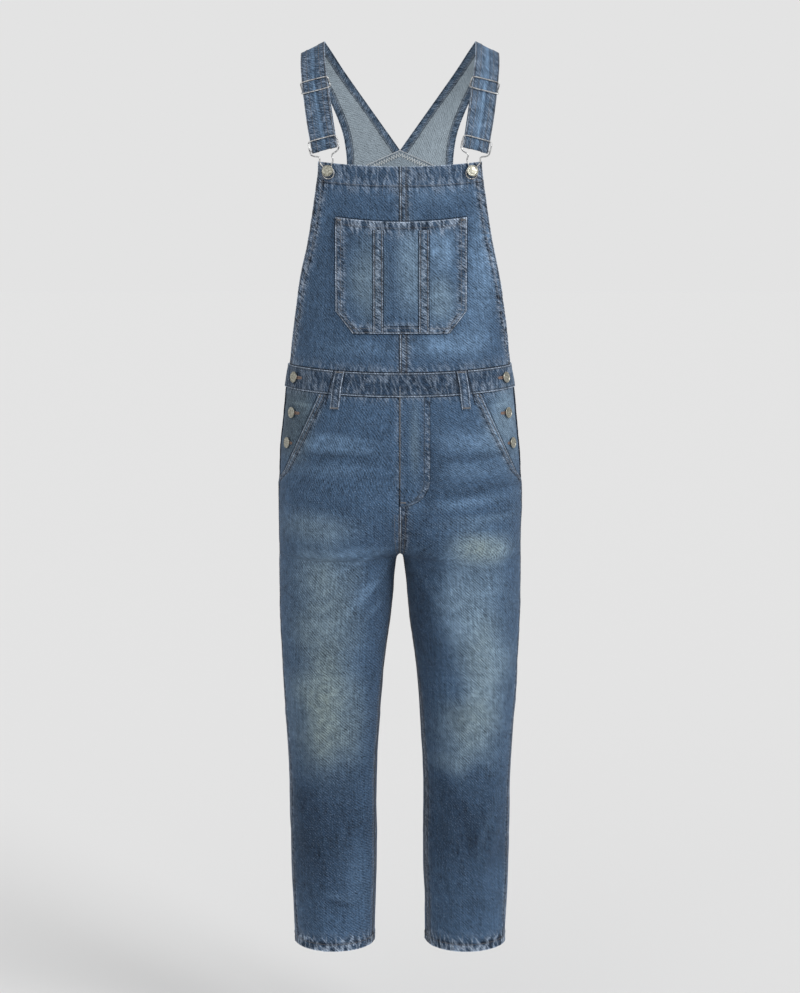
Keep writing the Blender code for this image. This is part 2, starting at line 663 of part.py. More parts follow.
def bib_pocket(finish, collection):
    """The patch pocket on the bib, with a raised hem along its mouth and its sides."""
    band, step = EDGE_BAND / (2 * BIB_POCKET_HALF), STEP / (2 * BIB_POCKET_HALF)
    columns = [0.0, band] + spread(band + step, 1 - band - step, 10) + [1 - band, 1.0]
    high = BIB_POCKET_TOP - BIB_POCKET_BOTTOM
    mouth = BIB_POCKET_HEM / high
    corner = 1 - CORNER_HIGH / high
    rows = [0.0, mouth] + spread(mouth + STEP / high, corner, 6) + spread(corner, 1.0, 3)[1:]

    def place(u, v):
        flat = blend(BIB_POCKET_TOP, BIB_POCKET_BOTTOM, v)
        x = BIB_POCKET_CENTRE + bib_pocket_half(flat) * (2 * u - 1)
        dip = BIB_POCKET_DIP * (1 - (2 * u - 1) ** 2) * (1 - v)
        return angle_at(x, flat - dip), flat - dip

    def raised(u, v):
        on_side = min(u, 1 - u) < band + step / 2
        return HEM_RISE if on_side or v < mouth + STEP / high / 2 else 0.0

    top = HEM_RISE + LAYER_GAP + DENIM
    return skin_wall(
        "bib_pocket", place, columns, rows, finish, collection, top=top, thick=DENIM, raised=raised
    )


def pocket_divider(name, sign, finish, collection):
    """The felled strip that parts the bib pocket."""

    def place(u, v):
        x = BIB_POCKET_CENTRE + sign * DIVIDER_X + DIVIDER_WIDE * (u - 0.5)
        across = (x - BIB_POCKET_CENTRE) / BIB_POCKET_HALF
        dip = BIB_POCKET_DIP * (1 - across**2) * (1 - v)
        z = blend(BIB_POCKET_TOP - BIB_POCKET_HEM - DIVIDER_IN, BIB_POCKET_BOTTOM + DIVIDER_IN, v) - dip
        return angle_at(x, z), z

    top = HEM_RISE + LAYER_GAP * 2 + DENIM + THIN_DENIM
    return skin_wall(name, place, [0, 1], spread(0, 1, 8), finish, collection, top=top, thick=THIN_DENIM)


def fly(finish, collection):
    """The J-shaped fly on the right of the front view."""

    def place(u, v):
        z = blend(waist_line(WAIST_BOTTOM, 0, "front") - SEAM_GAP, FLY_BOTTOM, v)
        sink = max(0.0, (v - FLY_STRAIGHT) / (1 - FLY_STRAIGHT))
        width = FLY_WIDE * math.sqrt(1 - sink**2) + FLY_TIP * sink
        x = blend(SEAM_GAP / 2, width, u)
        return angle_at(x, z), z

    bend = [blend(FLY_STRAIGHT, 1.0, math.sin(k * math.pi / 12)) for k in range(1, 7)]
    rows = spread(0, FLY_STRAIGHT, 6) + bend
    top = LAYER_GAP + THIN_DENIM
    return skin_wall("fly", place, spread(0, 1, 4), rows, finish, collection, top=top, thick=THIN_DENIM)


def belt_loop(loop, finish, collection):
    """A strip over the waistband, close at both ends and standing off between them."""
    top = waist_line(WAIST_TOP, loop.top_x, loop.face) + LOOP_TOP_LAP
    bottom = waist_line(WAIST_BOTTOM, loop.bottom_x, loop.face) - LOOP_BOTTOM_LAP

    def at(u, v, thickness):
        z = blend(top, bottom, v)
        angle = angle_at(blend(loop.top_x, loop.bottom_x, v) + LOOP_WIDE * (u - 0.5), z, loop.face)
        below = max(0.0, v - LOOP_BEND) / (1 - LOOP_BEND)
        stand = LOOP_STANDS_OFF * math.sin(math.pi * min(1.0, v / LOOP_BEND))
        return skin(angle, z, blend(WAISTBAND_PROUD, 0.0, below) + LAYER_GAP + stand + thickness)

    rows = [0.0, 0.12, 0.25, 0.4, 0.52, 0.64, LOOP_BEND, 1.0]
    outer, inner = (lambda u, v: at(u, v, LOOP_THICK)), (lambda u, v: at(u, v, 0.0))
    return wall(loop.name, outer, inner, [0, 1], rows, finish, collection)


# ---------------------------------------------------------------- straps and their hardware


def edge_points(station):
    """The strap's inner and outer edge at a row of STRAP."""
    inner = Vector((station.inner_x, station.inner_y, station.inner_z))
    return inner, Vector((station.outer_x, station.outer_y, station.outer_z))


Frame = namedtuple("Frame", "centre across down out")


def strap_frame(station):
    """The strap's own directions at a row of STRAP: across to the outer edge, down the strap, and out."""
    inner, outer = edge_points(STRAP[station])
    above = edge_points(STRAP[station - 1])
    centre = (inner + outer) / 2
    across = (outer - inner).normalized()
    down = (centre - (above[0] + above[1]) / 2).normalized()
    out = across.cross(down)
    out = (-out if out.y > 0 else out).normalized()
    down = (down - across * down.dot(across)).normalized()
    return Frame(centre, across, down, out)


TURN = WIRE + SEAM_GAP + STRAP_THICK / 2  # radius of the strap's middle where it turns round a bar


def strap(name, finish, collection, side):
    """A strap: from the back panel over the shoulder, through the slider and round the buckle's bar.

    It then runs up behind itself to the slider's middle bar, where its end is turned over and sewn.
    """
    inner, outer = (through([edge_points(s)[k] for s in STRAP], 3) for k in (0, 1))
    low, high = strap_frame(len(STRAP) - 1), strap_frame(SLIDER_STATION)
    half = STRAP_WIDE / 2
    pairs = list(zip(inner, outer))

    def add(middle, across):
        pairs.append((middle - across * half, middle + across * half))

    bar = low.centre - low.out * TURN
    for k in range(1, 7):  # round the buckle's bar
        a = math.pi * k / 6
        add(bar + (low.out * math.cos(a) + low.down * math.sin(a)) * TURN, low.across)
    behind_low = bar - low.out * TURN
    behind_high = high.centre - high.out * TURN * 2
    for k in range(1, 4):  # up behind the front layer
        add(behind_low.lerp(behind_high, k / 4), low.across.lerp(high.across, k / 4).normalized())
    slider_bar = high.centre - high.out * TURN * 3
    for k in range(0, 7):  # over the slider's middle bar
        a = math.pi * k / 6
        add(slider_bar + (high.out * math.cos(a) - high.down * math.sin(a)) * TURN, high.across)
    for k in (1, 2):  # the sewn end
        add(slider_bar - high.out * TURN + high.down * 0.006 * k, high.across)

    count = len(pairs)

    def middle(u, v):
        first, last = pairs[int(v)]
        return first.lerp(last, u)

    def normal(u, v):
        i = int(v)
        ahead, behind = pairs[min(count - 1, i + 1)], pairs[max(0, i - 1)]
        run = (ahead[0] + ahead[1]) - (behind[0] + behind[1])
        return run.cross(pairs[i][1] - pairs[i][0]).normalized()

    def face(offset):
        def at(u, v):
            point = middle(u, v) + normal(u, v) * offset
            return Vector((point.x * side, point.y, point.z))

        return at

    return wall(
        name,
        face(STRAP_THICK / 2),
        face(-STRAP_THICK / 2),
        [0.0, 0.5, 1.0],
        list(range(count)),
        finish,
        collection,
    )


SIDE_WIRE = STRAP_WIDE / 2 + 0.0012 + WIRE  # from the strap's middle to a frame's side wire


def wire_frame(name, rows, at, bar, finish, collection, helpers, side):
    """A closed wire that is alike on both sides of an axis, with a bar across it.

    at(sign, row) places a row of the table on the side that sign names. The end rows lie on the axis.
    """
    loop = [at(1, row) for row in rows] + [at(-1, row) for row in reversed(rows[1:-1])]
    ends = [at(-1, bar), at(1, bar)]
    if side < 0:
        loop = [Vector((-p.x, p.y, p.z)) for p in loop]
        ends = [Vector((-p.x, p.y, p.z)) for p in ends]
    frame = add_object(name, wire_mesh(name, loop, WIRE, True), finish, collection)
    join_bar(frame, ends[0], ends[1], helpers)
    return frame


WirePoint = namedtuple("WirePoint", "across along out")  # out is from the strap's middle, or from the bib
SLIDER_FRONT, SLIDER_BACK = TURN + 0.0004, -TURN * 3
SLIDER_SIDE = [
    WirePoint(0.0, -SLIDER_HALF, SLIDER_FRONT),
    WirePoint(SIDE_WIRE - 0.0022, -SLIDER_HALF, SLIDER_FRONT),
    WirePoint(SIDE_WIRE, -SLIDER_HALF + 0.0022, SLIDER_FRONT - 0.0012),
    WirePoint(SIDE_WIRE, -0.0022, SLIDER_BACK + 0.0008),
    WirePoint(SIDE_WIRE, 0.0022, SLIDER_BACK + 0.0008),
    WirePoint(SIDE_WIRE, SLIDER_HALF - 0.0022, SLIDER_FRONT - 0.0012),
    WirePoint(SIDE_WIRE - 0.0022, SLIDER_HALF, SLIDER_FRONT),
    WirePoint(0.0, SLIDER_HALF, SLIDER_FRONT),
]


def slider(name, finish, collection, helpers, side):
    """The adjuster: two bars in front of the strap, sides that dip back, and a middle bar behind it."""
    f = strap_frame(SLIDER_STATION)

    def at(sign, p):
        return f.centre + f.across * p.across * sign + f.down * p.along + f.out * p.out

    middle_bar = WirePoint(SIDE_WIRE, 0.0, SLIDER_BACK)
    return wire_frame(name, SLIDER_SIDE, at, middle_bar, finish, collection, helpers, side)


CLIP_FRONT = TURN * 2 + 0.0004  # from the strap's bar out to the wire in front of the strap
CLIP_SIDE = [  # one side of the buckle, from its top wire past the strap's bar to the loop round the button
    WirePoint(0.0, -0.0143, CLIP_FRONT),
    WirePoint(0.0190, -0.0143, CLIP_FRONT),
    WirePoint(0.0213, -0.0120, CLIP_FRONT - 0.0004),
    WirePoint(0.0222, -0.0060, 0.0030),
    WirePoint(0.0222, 0.0010, 0.0),
    WirePoint(0.0216, 0.0056, 0.0),
    WirePoint(0.0180, 0.0092, 0.0),
    WirePoint(0.0125, 0.0108, 0.0),
    WirePoint(0.0098, 0.0126, 0.0),
    WirePoint(0.0093, 0.0152, 0.0),
    WirePoint(0.0106, 0.0195, 0.0),
    WirePoint(0.0096, 0.0240, 0.0),
    WirePoint(0.0066, 0.0282, 0.0),
    WirePoint(0.0057, 0.0312, 0.0),
    WirePoint(0.0073, 0.0345, 0.0),
    WirePoint(0.0088, 0.0392, 0.0),
    WirePoint(0.0080, 0.0446, 0.0),
    WirePoint(0.0050, 0.0484, 0.0),
    WirePoint(0.0, 0.0497, 0.0),
]
CLIP_BELOW = 0.0023  # how far the middle of the buckle's loop hangs below the button's base
CLIP_LOOP_ALONG = 0.0408  # from the strap's bar to the middle of the buckle's loop
CLIP_CLEAR = 0.0007  # from the bib to the buckle's wire


def bib_button_place():
    """The bib button's place on the bib, and the direction that it stands in."""
    angle = angle_at(BIB_BUTTON.x, BIB_BUTTON.z)
    return skin(angle, BIB_BUTTON.z, HEM_RISE), outward(angle, BIB_BUTTON.z)


def clip(name, finish, collection, helpers, side):
    """The wire buckle: a frame that holds the strap, narrowing to a loop round the bib button's collar."""
    f = strap_frame(len(STRAP) - 1)
    base, stands = bib_button_place()
    bar = f.centre - f.out * TURN
    down = base + stands * (CLIP_CLEAR + WIRE) - Vector((0, 0, CLIP_BELOW)) - bar
    bib_across = down.cross(stands).normalized()
    if bib_across.x < 0:
        bib_across.negate()

    def at(sign, p):
        share = max(0.0, p.along / CLIP_LOOP_ALONG)
        along = down * share if p.along > 0 else f.down * p.along
        across = f.across.lerp(bib_across, min(1.0, share * 1.6)).normalized()
        return bar + along + across * p.across * sign + f.out * p.out

    return wire_frame(name, CLIP_SIDE, at, WirePoint(0.0215, 0.0, 0.0), finish, collection, helpers, side)


ButtonRow = namedtuple("ButtonRow", "radius height lean")
BIB_BUTTON_ROWS = [  # the collar lies on the bib, and the head leans up on a bent shank
    ButtonRow(0.0050, 0.0000, 0.0),
    ButtonRow(0.0050, 0.0024, 0.0),
    ButtonRow(0.0033, 0.0030, 0.2),
    ButtonRow(0.0033, 0.0056, 1.0),
    ButtonRow(0.0083, 0.0058, 1.0),
    ButtonRow(0.0087, 0.0066, 1.0),
    ButtonRow(0.0083, 0.0074, 1.0),
    ButtonRow(0.0068, 0.0074, 1.0),
    ButtonRow(0.0062, 0.0069, 1.0),
]
SIDE_BUTTON_ROWS = [
    ButtonRow(0.0036, 0.0000, 0.0),
    ButtonRow(0.0036, 0.0018, 0.0),
    ButtonRow(0.0081, 0.0019, 0.0),
    ButtonRow(0.0085, 0.0026, 0.0),
    ButtonRow(0.0081, 0.0034, 0.0),
    ButtonRow(0.0066, 0.0034, 0.0),
    ButtonRow(0.0060, 0.0029, 0.0),
]


def button(name, rows, base, stands, finish, collection, side):
    """A metal button as a stack of rings, closed at both ends. stands is the direction it stands in."""
    bm = bmesh.new()
    stands = Vector((stands.x * side, stands.y, stands.z))
    base = Vector((base.x * side, base.y, base.z)) + stands * SEAM_GAP
    level = Vector((0, 0, 1)).cross(stands).normalized()
    rings = []
    for row in rows:
        lean = Matrix.Rotation(math.radians(-BUTTON_LEAN * row.lean), 3, level)
        axis = lean @ stands
        up = axis.cross(level)
        centre = base + axis * row.height
        made = []
        for k in range(BUTTON_SEGMENTS):
            a = 2 * math.pi * k / BUTTON_SEGMENTS
            made.append(bm.verts.new(centre + (level * math.cos(a) + up * math.sin(a)) * row.radius))
        rings.append(made)
    for low, high in zip(rings, rings[1:]):
        for k in range(BUTTON_SEGMENTS):
            n = (k + 1) % BUTTON_SEGMENTS
            bm.faces.new((low[k], low[n], high[n], high[k]))
    bm.faces.new(rings[0])
    bm.faces.new(rings[-1])
    bmesh.ops.recalc_face_normals(bm, faces=bm.faces)
    mesh = bpy.data.meshes.new(name)
    bm.to_mesh(mesh)
    bm.free()
    mesh.shade_smooth()
    mesh.set_sharp_from_angle(angle=math.radians(40))
    return add_object(name, mesh, finish, collection)


def side_button(place, finish, collection, side):
    """A button of the side opening."""
    angle = angle_at(place.x, place.z)
    name = f"{place.name}_{'right' if side > 0 else 'left'}"
    base, stands = skin(angle, place.z, place.lift, side), outward(angle, place.z)
    base = Vector((base.x * side, base.y, base.z))
    return button(name, SIDE_BUTTON_ROWS, base, stands, finish, collection, side)


# ---------------------------------------------------------------- the garment


def build():
    for old in list(bpy.data.objects):
        bpy.data.objects.remove(old)
    garment = bpy.data.collections.new("dungarees")
    helpers = bpy.data.collections.new("helpers")
    bpy.context.scene.collection.children.link(garment)
    bpy.context.scene.collection.children.link(helpers)
    denim = material("denim", (0.085, 0.150, 0.260), 0.85)
    nickel = material("aged nickel", (0.480, 0.470, 0.420), 0.35, 1.0)

    centre = angle_at(SEAM_GAP / 2, WAIST_TOP)
    opening = OPENING_ANGLE - degrees_of(SEAM_GAP, OPENING_ANGLE, WAIST_TOP)
    for side, word in ((-1, "left"), (1, "right")):
        front_leg(f"front_leg_{word}", denim, garment, side)
        back_leg(f"back_leg_{word}", denim, garment, side)
        pocket_bearer(f"pocket_bearer_{word}", denim, garment, side)
        button_stand(f"button_stand_{word}", denim, garment, side)
        waistband(f"waistband_front_{word}", centre, opening, "front", 9, denim, garment, side)
        bib_panel(f"bib_{word}", denim, garment, side)
        pocket_divider(f"pocket_divider_{word}", side, denim, garment)
        strap(f"strap_{word}", denim, garment, side)
        slider(f"slider_{word}", nickel, garment, helpers, side)
        clip(f"clip_{word}", nickel, garment, helpers, side)
        base, stands = bib_button_place()
        button(f"bib_button_{word}", BIB_BUTTON_ROWS, base, stands, nickel, garment, side)
        for place in SIDE_BUTTONS:
            side_button(place, nickel, garment, side)
    waistband("waistband_back", OPENING_ANGLE, 180.0 - OPENING_ANGLE, "back", 18, denim, garment)
    back_panel("back_panel", denim, garment)
    bib_pocket(denim, garment)
    fly(denim, garment)
    for place in LOOPS:
        belt_loop(place, denim, garment)


build()
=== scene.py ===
# %% [markdown]
# # Denim dungarees
# A pair of washed denim dungarees, filled out as if somebody wore them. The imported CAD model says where
# everything is. Here each plain solid gets its finished looks: woven cloth with puckered seams, real
# stitches, and aged metal. Lengths are in metres, Z is up, and the wearer faces -Y.

import math
from collections import namedtuple

import bmesh
import bpy
import numpy as np
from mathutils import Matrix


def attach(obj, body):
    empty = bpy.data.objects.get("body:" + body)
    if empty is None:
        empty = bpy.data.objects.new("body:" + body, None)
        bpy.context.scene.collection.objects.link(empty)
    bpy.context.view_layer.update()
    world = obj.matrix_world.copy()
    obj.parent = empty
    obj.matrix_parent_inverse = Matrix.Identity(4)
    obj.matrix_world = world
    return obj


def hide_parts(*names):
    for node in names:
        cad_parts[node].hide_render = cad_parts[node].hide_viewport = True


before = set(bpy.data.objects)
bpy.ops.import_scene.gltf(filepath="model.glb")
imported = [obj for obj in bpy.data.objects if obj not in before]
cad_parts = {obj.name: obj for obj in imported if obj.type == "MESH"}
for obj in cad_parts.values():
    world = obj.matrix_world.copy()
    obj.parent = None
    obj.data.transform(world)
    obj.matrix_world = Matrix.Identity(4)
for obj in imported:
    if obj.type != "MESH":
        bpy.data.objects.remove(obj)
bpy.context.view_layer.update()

# %% [markdown]
# ## Camera, floor and light
# The camera stands 3.4 m away at chest height and looks a little down, as for a shop picture, above a plain
# pale floor. Light comes from a pale surround, from a broad lamp at the upper right and from a weaker one
# at the left, so that every pucker in the cloth throws a soft shade.

# %% Camera
CAMERA_AWAY, CAMERA_HIGH, CAMERA_PITCH = 3.40, -0.238, 7.696
LENS = 79.54  # millimetres, on a sensor 36 mm long
FLOOR_LEVEL, FLOOR_SIZE = -1.62, 60.0
LAMP_AWAY = 3.0

collection = bpy.context.scene.collection


def show(thing):
    """Puts an object in the scene."""
    collection.objects.link(thing)
    return thing


camera_data = bpy.data.cameras.new("camera")
camera_data.lens = LENS
camera = show(bpy.data.objects.new("camera", camera_data))
camera.location = (0.0, -CAMERA_AWAY, CAMERA_HIGH)
camera.rotation_euler = (math.radians(90 - CAMERA_PITCH), 0.0, 0.0)
bpy.context.scene.camera = camera
bpy.context.scene.view_settings.view_transform = "Standard"
print("camera at", tuple(camera.location))

# %% [markdown]
# ## Helpers for materials
# Every colour is written as the sRGB hex value that the eye sees, and one function turns it into the linear
# numbers that a shader works with. `add` adds a node, sets it and links it. `Value` is a number in a node
# tree, so that a sum can be written as a sum.

# %% Helpers for materials


def linear(hex_colour):
    """An sRGB hex colour as linear red, green, blue and alpha."""
    shares = [int(hex_colour[i : i + 2], 16) / 255 for i in (1, 3, 5)]
    return tuple(s / 12.92 if s <= 0.04045 else ((s + 0.055) / 1.055) ** 2.4 for s in shares) + (1.0,)


def add(tree, kind, inputs=None, **settings):
    """Adds a node with its settings. inputs gives each input socket a value, or what to link."""
    made = tree.nodes.new(kind)
    for name, value in settings.items():
        setattr(made, name, value)
    for key, value in (inputs or {}).items():
        value = value.socket if isinstance(value, Value) else value
        value = value.outputs[0] if isinstance(value, bpy.types.Node) else value
        if isinstance(value, bpy.types.NodeSocket):
            tree.links.new(value, made.inputs[key])
        else:
            made.inputs[key].default_value = value
    return made


class Value:
    """A number in a node tree."""

    def __init__(self, tree, socket):
        self.tree, self.socket = tree, socket

    def calc(self, operation, *others, clamp=False):
        """The result of one sum."""
        values = dict(enumerate((self, *others)))
        made = add(self.tree, "ShaderNodeMath", values, operation=operation, use_clamp=clamp)
        return Value(self.tree, made.outputs[0])

    def clamped(self):
        """The value, kept between 0 and 1."""
        return self.calc("ADD", 0.0, clamp=True)


SIGNS = dict(add="ADD", sub="SUBTRACT", mul="MULTIPLY", truediv="DIVIDE", abs="ABSOLUTE")
for sign, operation in SIGNS.items():  # so that + and the other signs add nodes
    setattr(Value, f"__{sign}__", lambda value, *others, kind=operation: value.calc(kind, *others))


def split(tree, vector, kind="XYZ"):
    """The three parts of a vector or a colour."""
    return [Value(tree, part) for part in add(tree, f"ShaderNodeSeparate{kind}", {0: vector}).outputs]


def joined(tree, x=0.0, y=0.0, z=0.0):
    """A vector from three values."""
    return add(tree, "ShaderNodeCombineXYZ", {0: x, 1: y, 2: z})


def scaled(tree, vector, by):
    """A vector or a colour, times a value."""
    return add(tree, "ShaderNodeVectorMath", {0: vector, "Scale": by}, operation="SCALE")


def mixed(tree, share, a, b):
    """Two colours, mixed by a share."""
    colours = {i: linear(c) if isinstance(c, str) else c for i, c in ((6, a), (7, b))}
    return add(tree, "ShaderNodeMix", {0: share, **colours}, data_type="RGBA").outputs[2]


def noise(tree, vector, scale, detail=2.0, roughness=0.5):
    """A noise value from 0 to 1."""
    inputs = {"Vector": vector, "Scale": scale, "Detail": detail, "Roughness": roughness}
    return Value(tree, add(tree, "ShaderNodeTexNoise", inputs).outputs["Fac"])


def new_material(name):
    """A material's node tree, a function that gives its shader its looks, and the place on the object."""
    made = bpy.data.materials.new(name)
    made.use_nodes = True
    tree, shader = made.node_tree, made.node_tree.nodes["Principled BSDF"]

    def give(colour, height, strength, distance, **inputs):
        bump = add(tree, "ShaderNodeBump", {"Height": height, "Strength": strength, "Distance": distance})
        tree.links.new(bump.outputs[0], shader.inputs["Normal"])
        for key, value in {"Base_Color": colour, **inputs}.items():
            socket = shader.inputs[key.replace("_", " ")]
            if isinstance(value, bpy.types.NodeSocket):
                tree.links.new(value, socket)
            else:
                socket.default_value = value
        return made

    return tree, give, add(tree, "ShaderNodeTexCoord").outputs["Object"]


print("helpers ready")

# %% Floor and light
tree, give, place = new_material("matt white vinyl floor")
grain = noise(tree, place, 400.0)
floor_finish = give(linear("#e0e0e0"), grain, 0.02, 0.001, Roughness=1.0, Specular_IOR_Level=0.0)
floor_mesh = bpy.data.meshes.new("floor")
half = FLOOR_SIZE / 2
corners = [(x, y, FLOOR_LEVEL) for x, y in ((-half, -half), (half, -half), (half, half), (-half, half))]
floor_mesh.from_pydata(corners, [], [(0, 1, 2, 3)])
floor_mesh.materials.append(floor_finish)
floor = show(bpy.data.objects.new("floor", floor_mesh))

SoftLight = namedtuple("SoftLight", "name x y z wide strength")
SOFT_LIGHTS = [  # from where each shines, how many degrees of sky it fills, and how strongly
    SoftLight("key", 0.95, -0.75, 0.62, 30.0, 1.66),
    SoftLight("front", -0.35, -1.0, 0.25, 50.0, 0.35),
]
for light in SOFT_LIGHTS:
    lamp_data = bpy.data.lights.new(light.name, "SUN")
    lamp_data.angle = math.radians(light.wide)
    lamp_data.energy = light.strength
    lamp = show(bpy.data.objects.new(light.name, lamp_data))
    lamp.location = (light.x * LAMP_AWAY, light.y * LAMP_AWAY, light.z * LAMP_AWAY)
    lamp.rotation_euler = (-lamp.location).to_track_quat("-Z", "Y").to_euler()

studio = bpy.data.worlds.new("studio")
studio.use_nodes = True
bpy.context.scene.world = studio
surround = studio.node_tree.nodes["Background"].inputs
surround["Color"].default_value, surround["Strength"].default_value = linear("#e3e3e3"), 1.0
print("floor, studio and", len(SOFT_LIGHTS), "soft lights")

# %% [markdown]
# ## Denim
# Denim is a twill: blue warp threads pass over three white weft threads and under one, and each row of the
# weave steps aside by one thread, which draws fine slanting ridges. Only the outside of the warp is dyed,
# so wear turns it pale, greyish where the wash was strong. Real ridges lie about 0.8 mm apart, too fine to
# show from here, so they are drawn about four times as coarse. Three numbers of a colour attribute say how
# faded, how greenish and how dark a place is, from the wash and, in a few spots, from painted light and
# shade. `seam` and `pucker` say how far the sewn edges are and how they crease, and `outline` how far the
# edge of a piece is that is sewn on top. Crease hollows, pucker troughs, stitch grooves, band steps and
# outlines are painted darker as shade, and folded edges get a pale line that is partly wear and partly a
# painted highlight.

# %% Denim finishes
WALE = 3.3  # millimetres between the slanting ridges
DRIFT, DRIFT_SCALE = 3.2, 9.0  # how far the ridges wander, and over what distance
DIAGONAL = 0.7071
STROKE_LONG, STROKE_WIDE = 8.0, 2.1  # one visible float of the warp, in millimetres
SLUB_WIDE, SLUB_LONG = 2.2, 60.0  # an uneven warp thread
GRAIN = 1.5  # specks of the white weft
MOTTLE, CLOUD, BLOTCH = 13.0, 60.0, 4.5  # uneven dye, in millimetres
EDGE_LINE, GROOVE_LINE, OUTLINE = 1.5, 1.5, 1.3  # how wide sewn lines look, in millimetres
CREST_SHARP = 13.0
# EDGE_PALE sets the pale line along a folded edge, which is partly wear and partly a painted highlight.
EDGE_PALE, CREASE_PALE, RUB_PALE, SPECK_PALE = 1.1, 0.72, 0.30, 0.5  # how strongly each turns the cloth pale
# How strongly painted shade darkens crease hollows, pucker troughs (where some dye also stays), stitch
# grooves, band steps and outlines.
HOLLOW_DARK, RUB_DARK, SEAM_DARK, ALL_DARK = 3.6, 0.40, 0.85, 0.95  # and dark
TEXTURE = (1.35, 1.0, 1.15, 0.85, 0.55)  # how strongly hatch, slubs, grain, dye and clouds show
RIDGE_SHARE, STROKE_SHARE = 0.16, 1.1  # the even ridges and the single floats in the hatch
LEVEL_CREASES = (10.5, 30.0, 0.22)  # wide, long and slant, where the sewn edge is level
UPRIGHT_CREASES = (5.0, 14.0, 0.55)  # and where it is upright
DYE_UNEVEN, BAND_UNEVEN = 0.9, 3.0  # how unevenly the wash and the turned bands took the dye
PATCHY, PATCHY_LEAST = 1.6, 0.85  # how a pale edge breaks up into patches
SPECKS, SPECKS_FEW = 2.6, 0.20
RELIEF, RELIEF_HIGH = 0.75, 0.0012


def weave(tree, mm, lean):
    """The height of the slanting ridges, the slubs, the grain and the uneven dye, each around 0.

    lean is 1 where the ridges run down to the right, and -1 on the wrong side of the cloth.
    """
    x, y = split(tree, mm)[:2]
    step = x * lean
    over, along = (step + y) * DIAGONAL, (step - y) * DIAGONAL
    phase = noise(tree, mm, 1 / DRIFT_SCALE, 1.0) * DRIFT + over
    ridge = (phase * (2 * math.pi / WALE)).calc("SINE")

    def stretched(a, b, wide, high, detail=1.0):
        return noise(tree, joined(tree, a / wide, b / high), 1.0, detail) - 0.5

    hatch = ridge * RIDGE_SHARE + stretched(along, over, STROKE_LONG, STROKE_WIDE) * STROKE_SHARE
    slub, grain = stretched(x, y, SLUB_WIDE, SLUB_LONG, 2.0), stretched(x, y, GRAIN, GRAIN)
    return hatch, slub, grain, stretched(x, y, MOTTLE, MOTTLE, 3.0), stretched(x, y, CLOUD, CLOUD, 2.0)


def creases(tree, mm, wide, long, slant, upright=False):
    """Creases that cross a sewn edge aslant: how much of a pale crest there is, and the height around 0."""
    run, away = split(tree, mm)[:2]
    if upright:
        run, away = away, run
    run = away * slant + run
    height = noise(tree, joined(tree, run / wide, away / long, float(upright)), 1.0, 1.5, 0.55) - 0.5
    return (abs(height) * -CREST_SHARP + 1.0).clamped(), height


def denim(name, mid, deep, faded, grey, worn, painted_shade_colour, lean=1, contrast=1.0):
    """A denim finish, from its six colours."""
    tree, give, _ = new_material(name)
    place = add(tree, "ShaderNodeUVMap", uv_map="cloth")
    mm = scaled(tree, place, 1000.0)

    def read(label, output="Vector", kind="XYZ"):
        return split(tree, add(tree, "ShaderNodeAttribute", attribute_name=label).outputs[output], kind)

    def line(distance, wide):
        return (distance * (-1 / wide) + 1.0).clamped()

    textures = hatch, slub, grain, dye, _ = weave(tree, mm, lean)
    # These three shares come from the wash and, in a few spots, from painted light and shade.
    fade, green, dark = read("wash", "Color", "Color")
    edge, band, groove = read("seam")
    level_edge, upright_edge, rub = read("pucker")
    outline = Value(tree, add(tree, "ShaderNodeAttribute", attribute_name="outline").outputs["Fac"])
    uneven = dye * DYE_UNEVEN + 1.0
    blotch = noise(tree, place, 1000 / BLOTCH, 2.0, 0.6) - 0.5
    colour = mixed(tree, (fade * uneven).clamped(), mid, faded)
    colour = mixed(tree, (green * uneven).clamped(), colour, grey)
    colour = mixed(tree, (band * (blotch * BAND_UNEVEN + 1.0) + dark).clamped(), colour, deep)
    level_crest, level_height = creases(tree, mm, *LEVEL_CREASES)
    upright_crest, upright_height = creases(tree, mm, *UPRIGHT_CREASES, upright=True)
    creased = upright_crest * upright_edge + level_crest * level_edge
    sunk = upright_height * upright_edge + level_height * level_edge
    # The pale line along a folded edge is partly wear and partly a painted highlight.
    pale = line(edge, EDGE_LINE) * EDGE_PALE + creased * CREASE_PALE
    pale = pale * (blotch * PATCHY + PATCHY_LEAST).clamped() + rub.calc("MAXIMUM", 0.0) * RUB_PALE
    colour = mixed(tree, (pale * (grain * PATCHY + PATCHY_LEAST)).clamped(), colour, worn)
    # Painted shade: crease hollows, pucker troughs with some dye kept in them, stitch grooves, the steps of
    # raised bands and the outlines of pieces sewn on top turn toward the near-black shade colour.
    seam_line = line(groove, GROOVE_LINE)
    shade_and_dye = sunk.calc("MAXIMUM", 0.0) * HOLLOW_DARK + rub.calc("MINIMUM", 0.0) * -RUB_DARK
    shade_and_dye = shade_and_dye + seam_line * SEAM_DARK + line(abs(outline - OUTLINE), OUTLINE)
    colour = mixed(tree, shade_and_dye.clamped() * ALL_DARK, colour, painted_shade_colour)
    colour = mixed(tree, (grain * SPECKS - SPECKS_FEW).clamped() * SPECK_PALE, colour, worn)
    tone = hatch * (TEXTURE[0] * contrast) + 1.0
    for part, share in zip(textures[1:], TEXTURE[1:]):
        tone = part * (share * contrast) + tone
    height = slub * 0.5 + grain * 0.8 + hatch + seam_line * -0.8 + creased * 0.9
    toned = scaled(tree, colour, tone).outputs[0]
    sheen = dict(Sheen_Weight=0.07, Sheen_Roughness=0.45, Sheen_Tint=linear("#c9d6e6"))
    return give(toned, height, RELIEF, RELIEF_HIGH, Roughness=0.9, Specular_IOR_Level=0.18, **sheen)


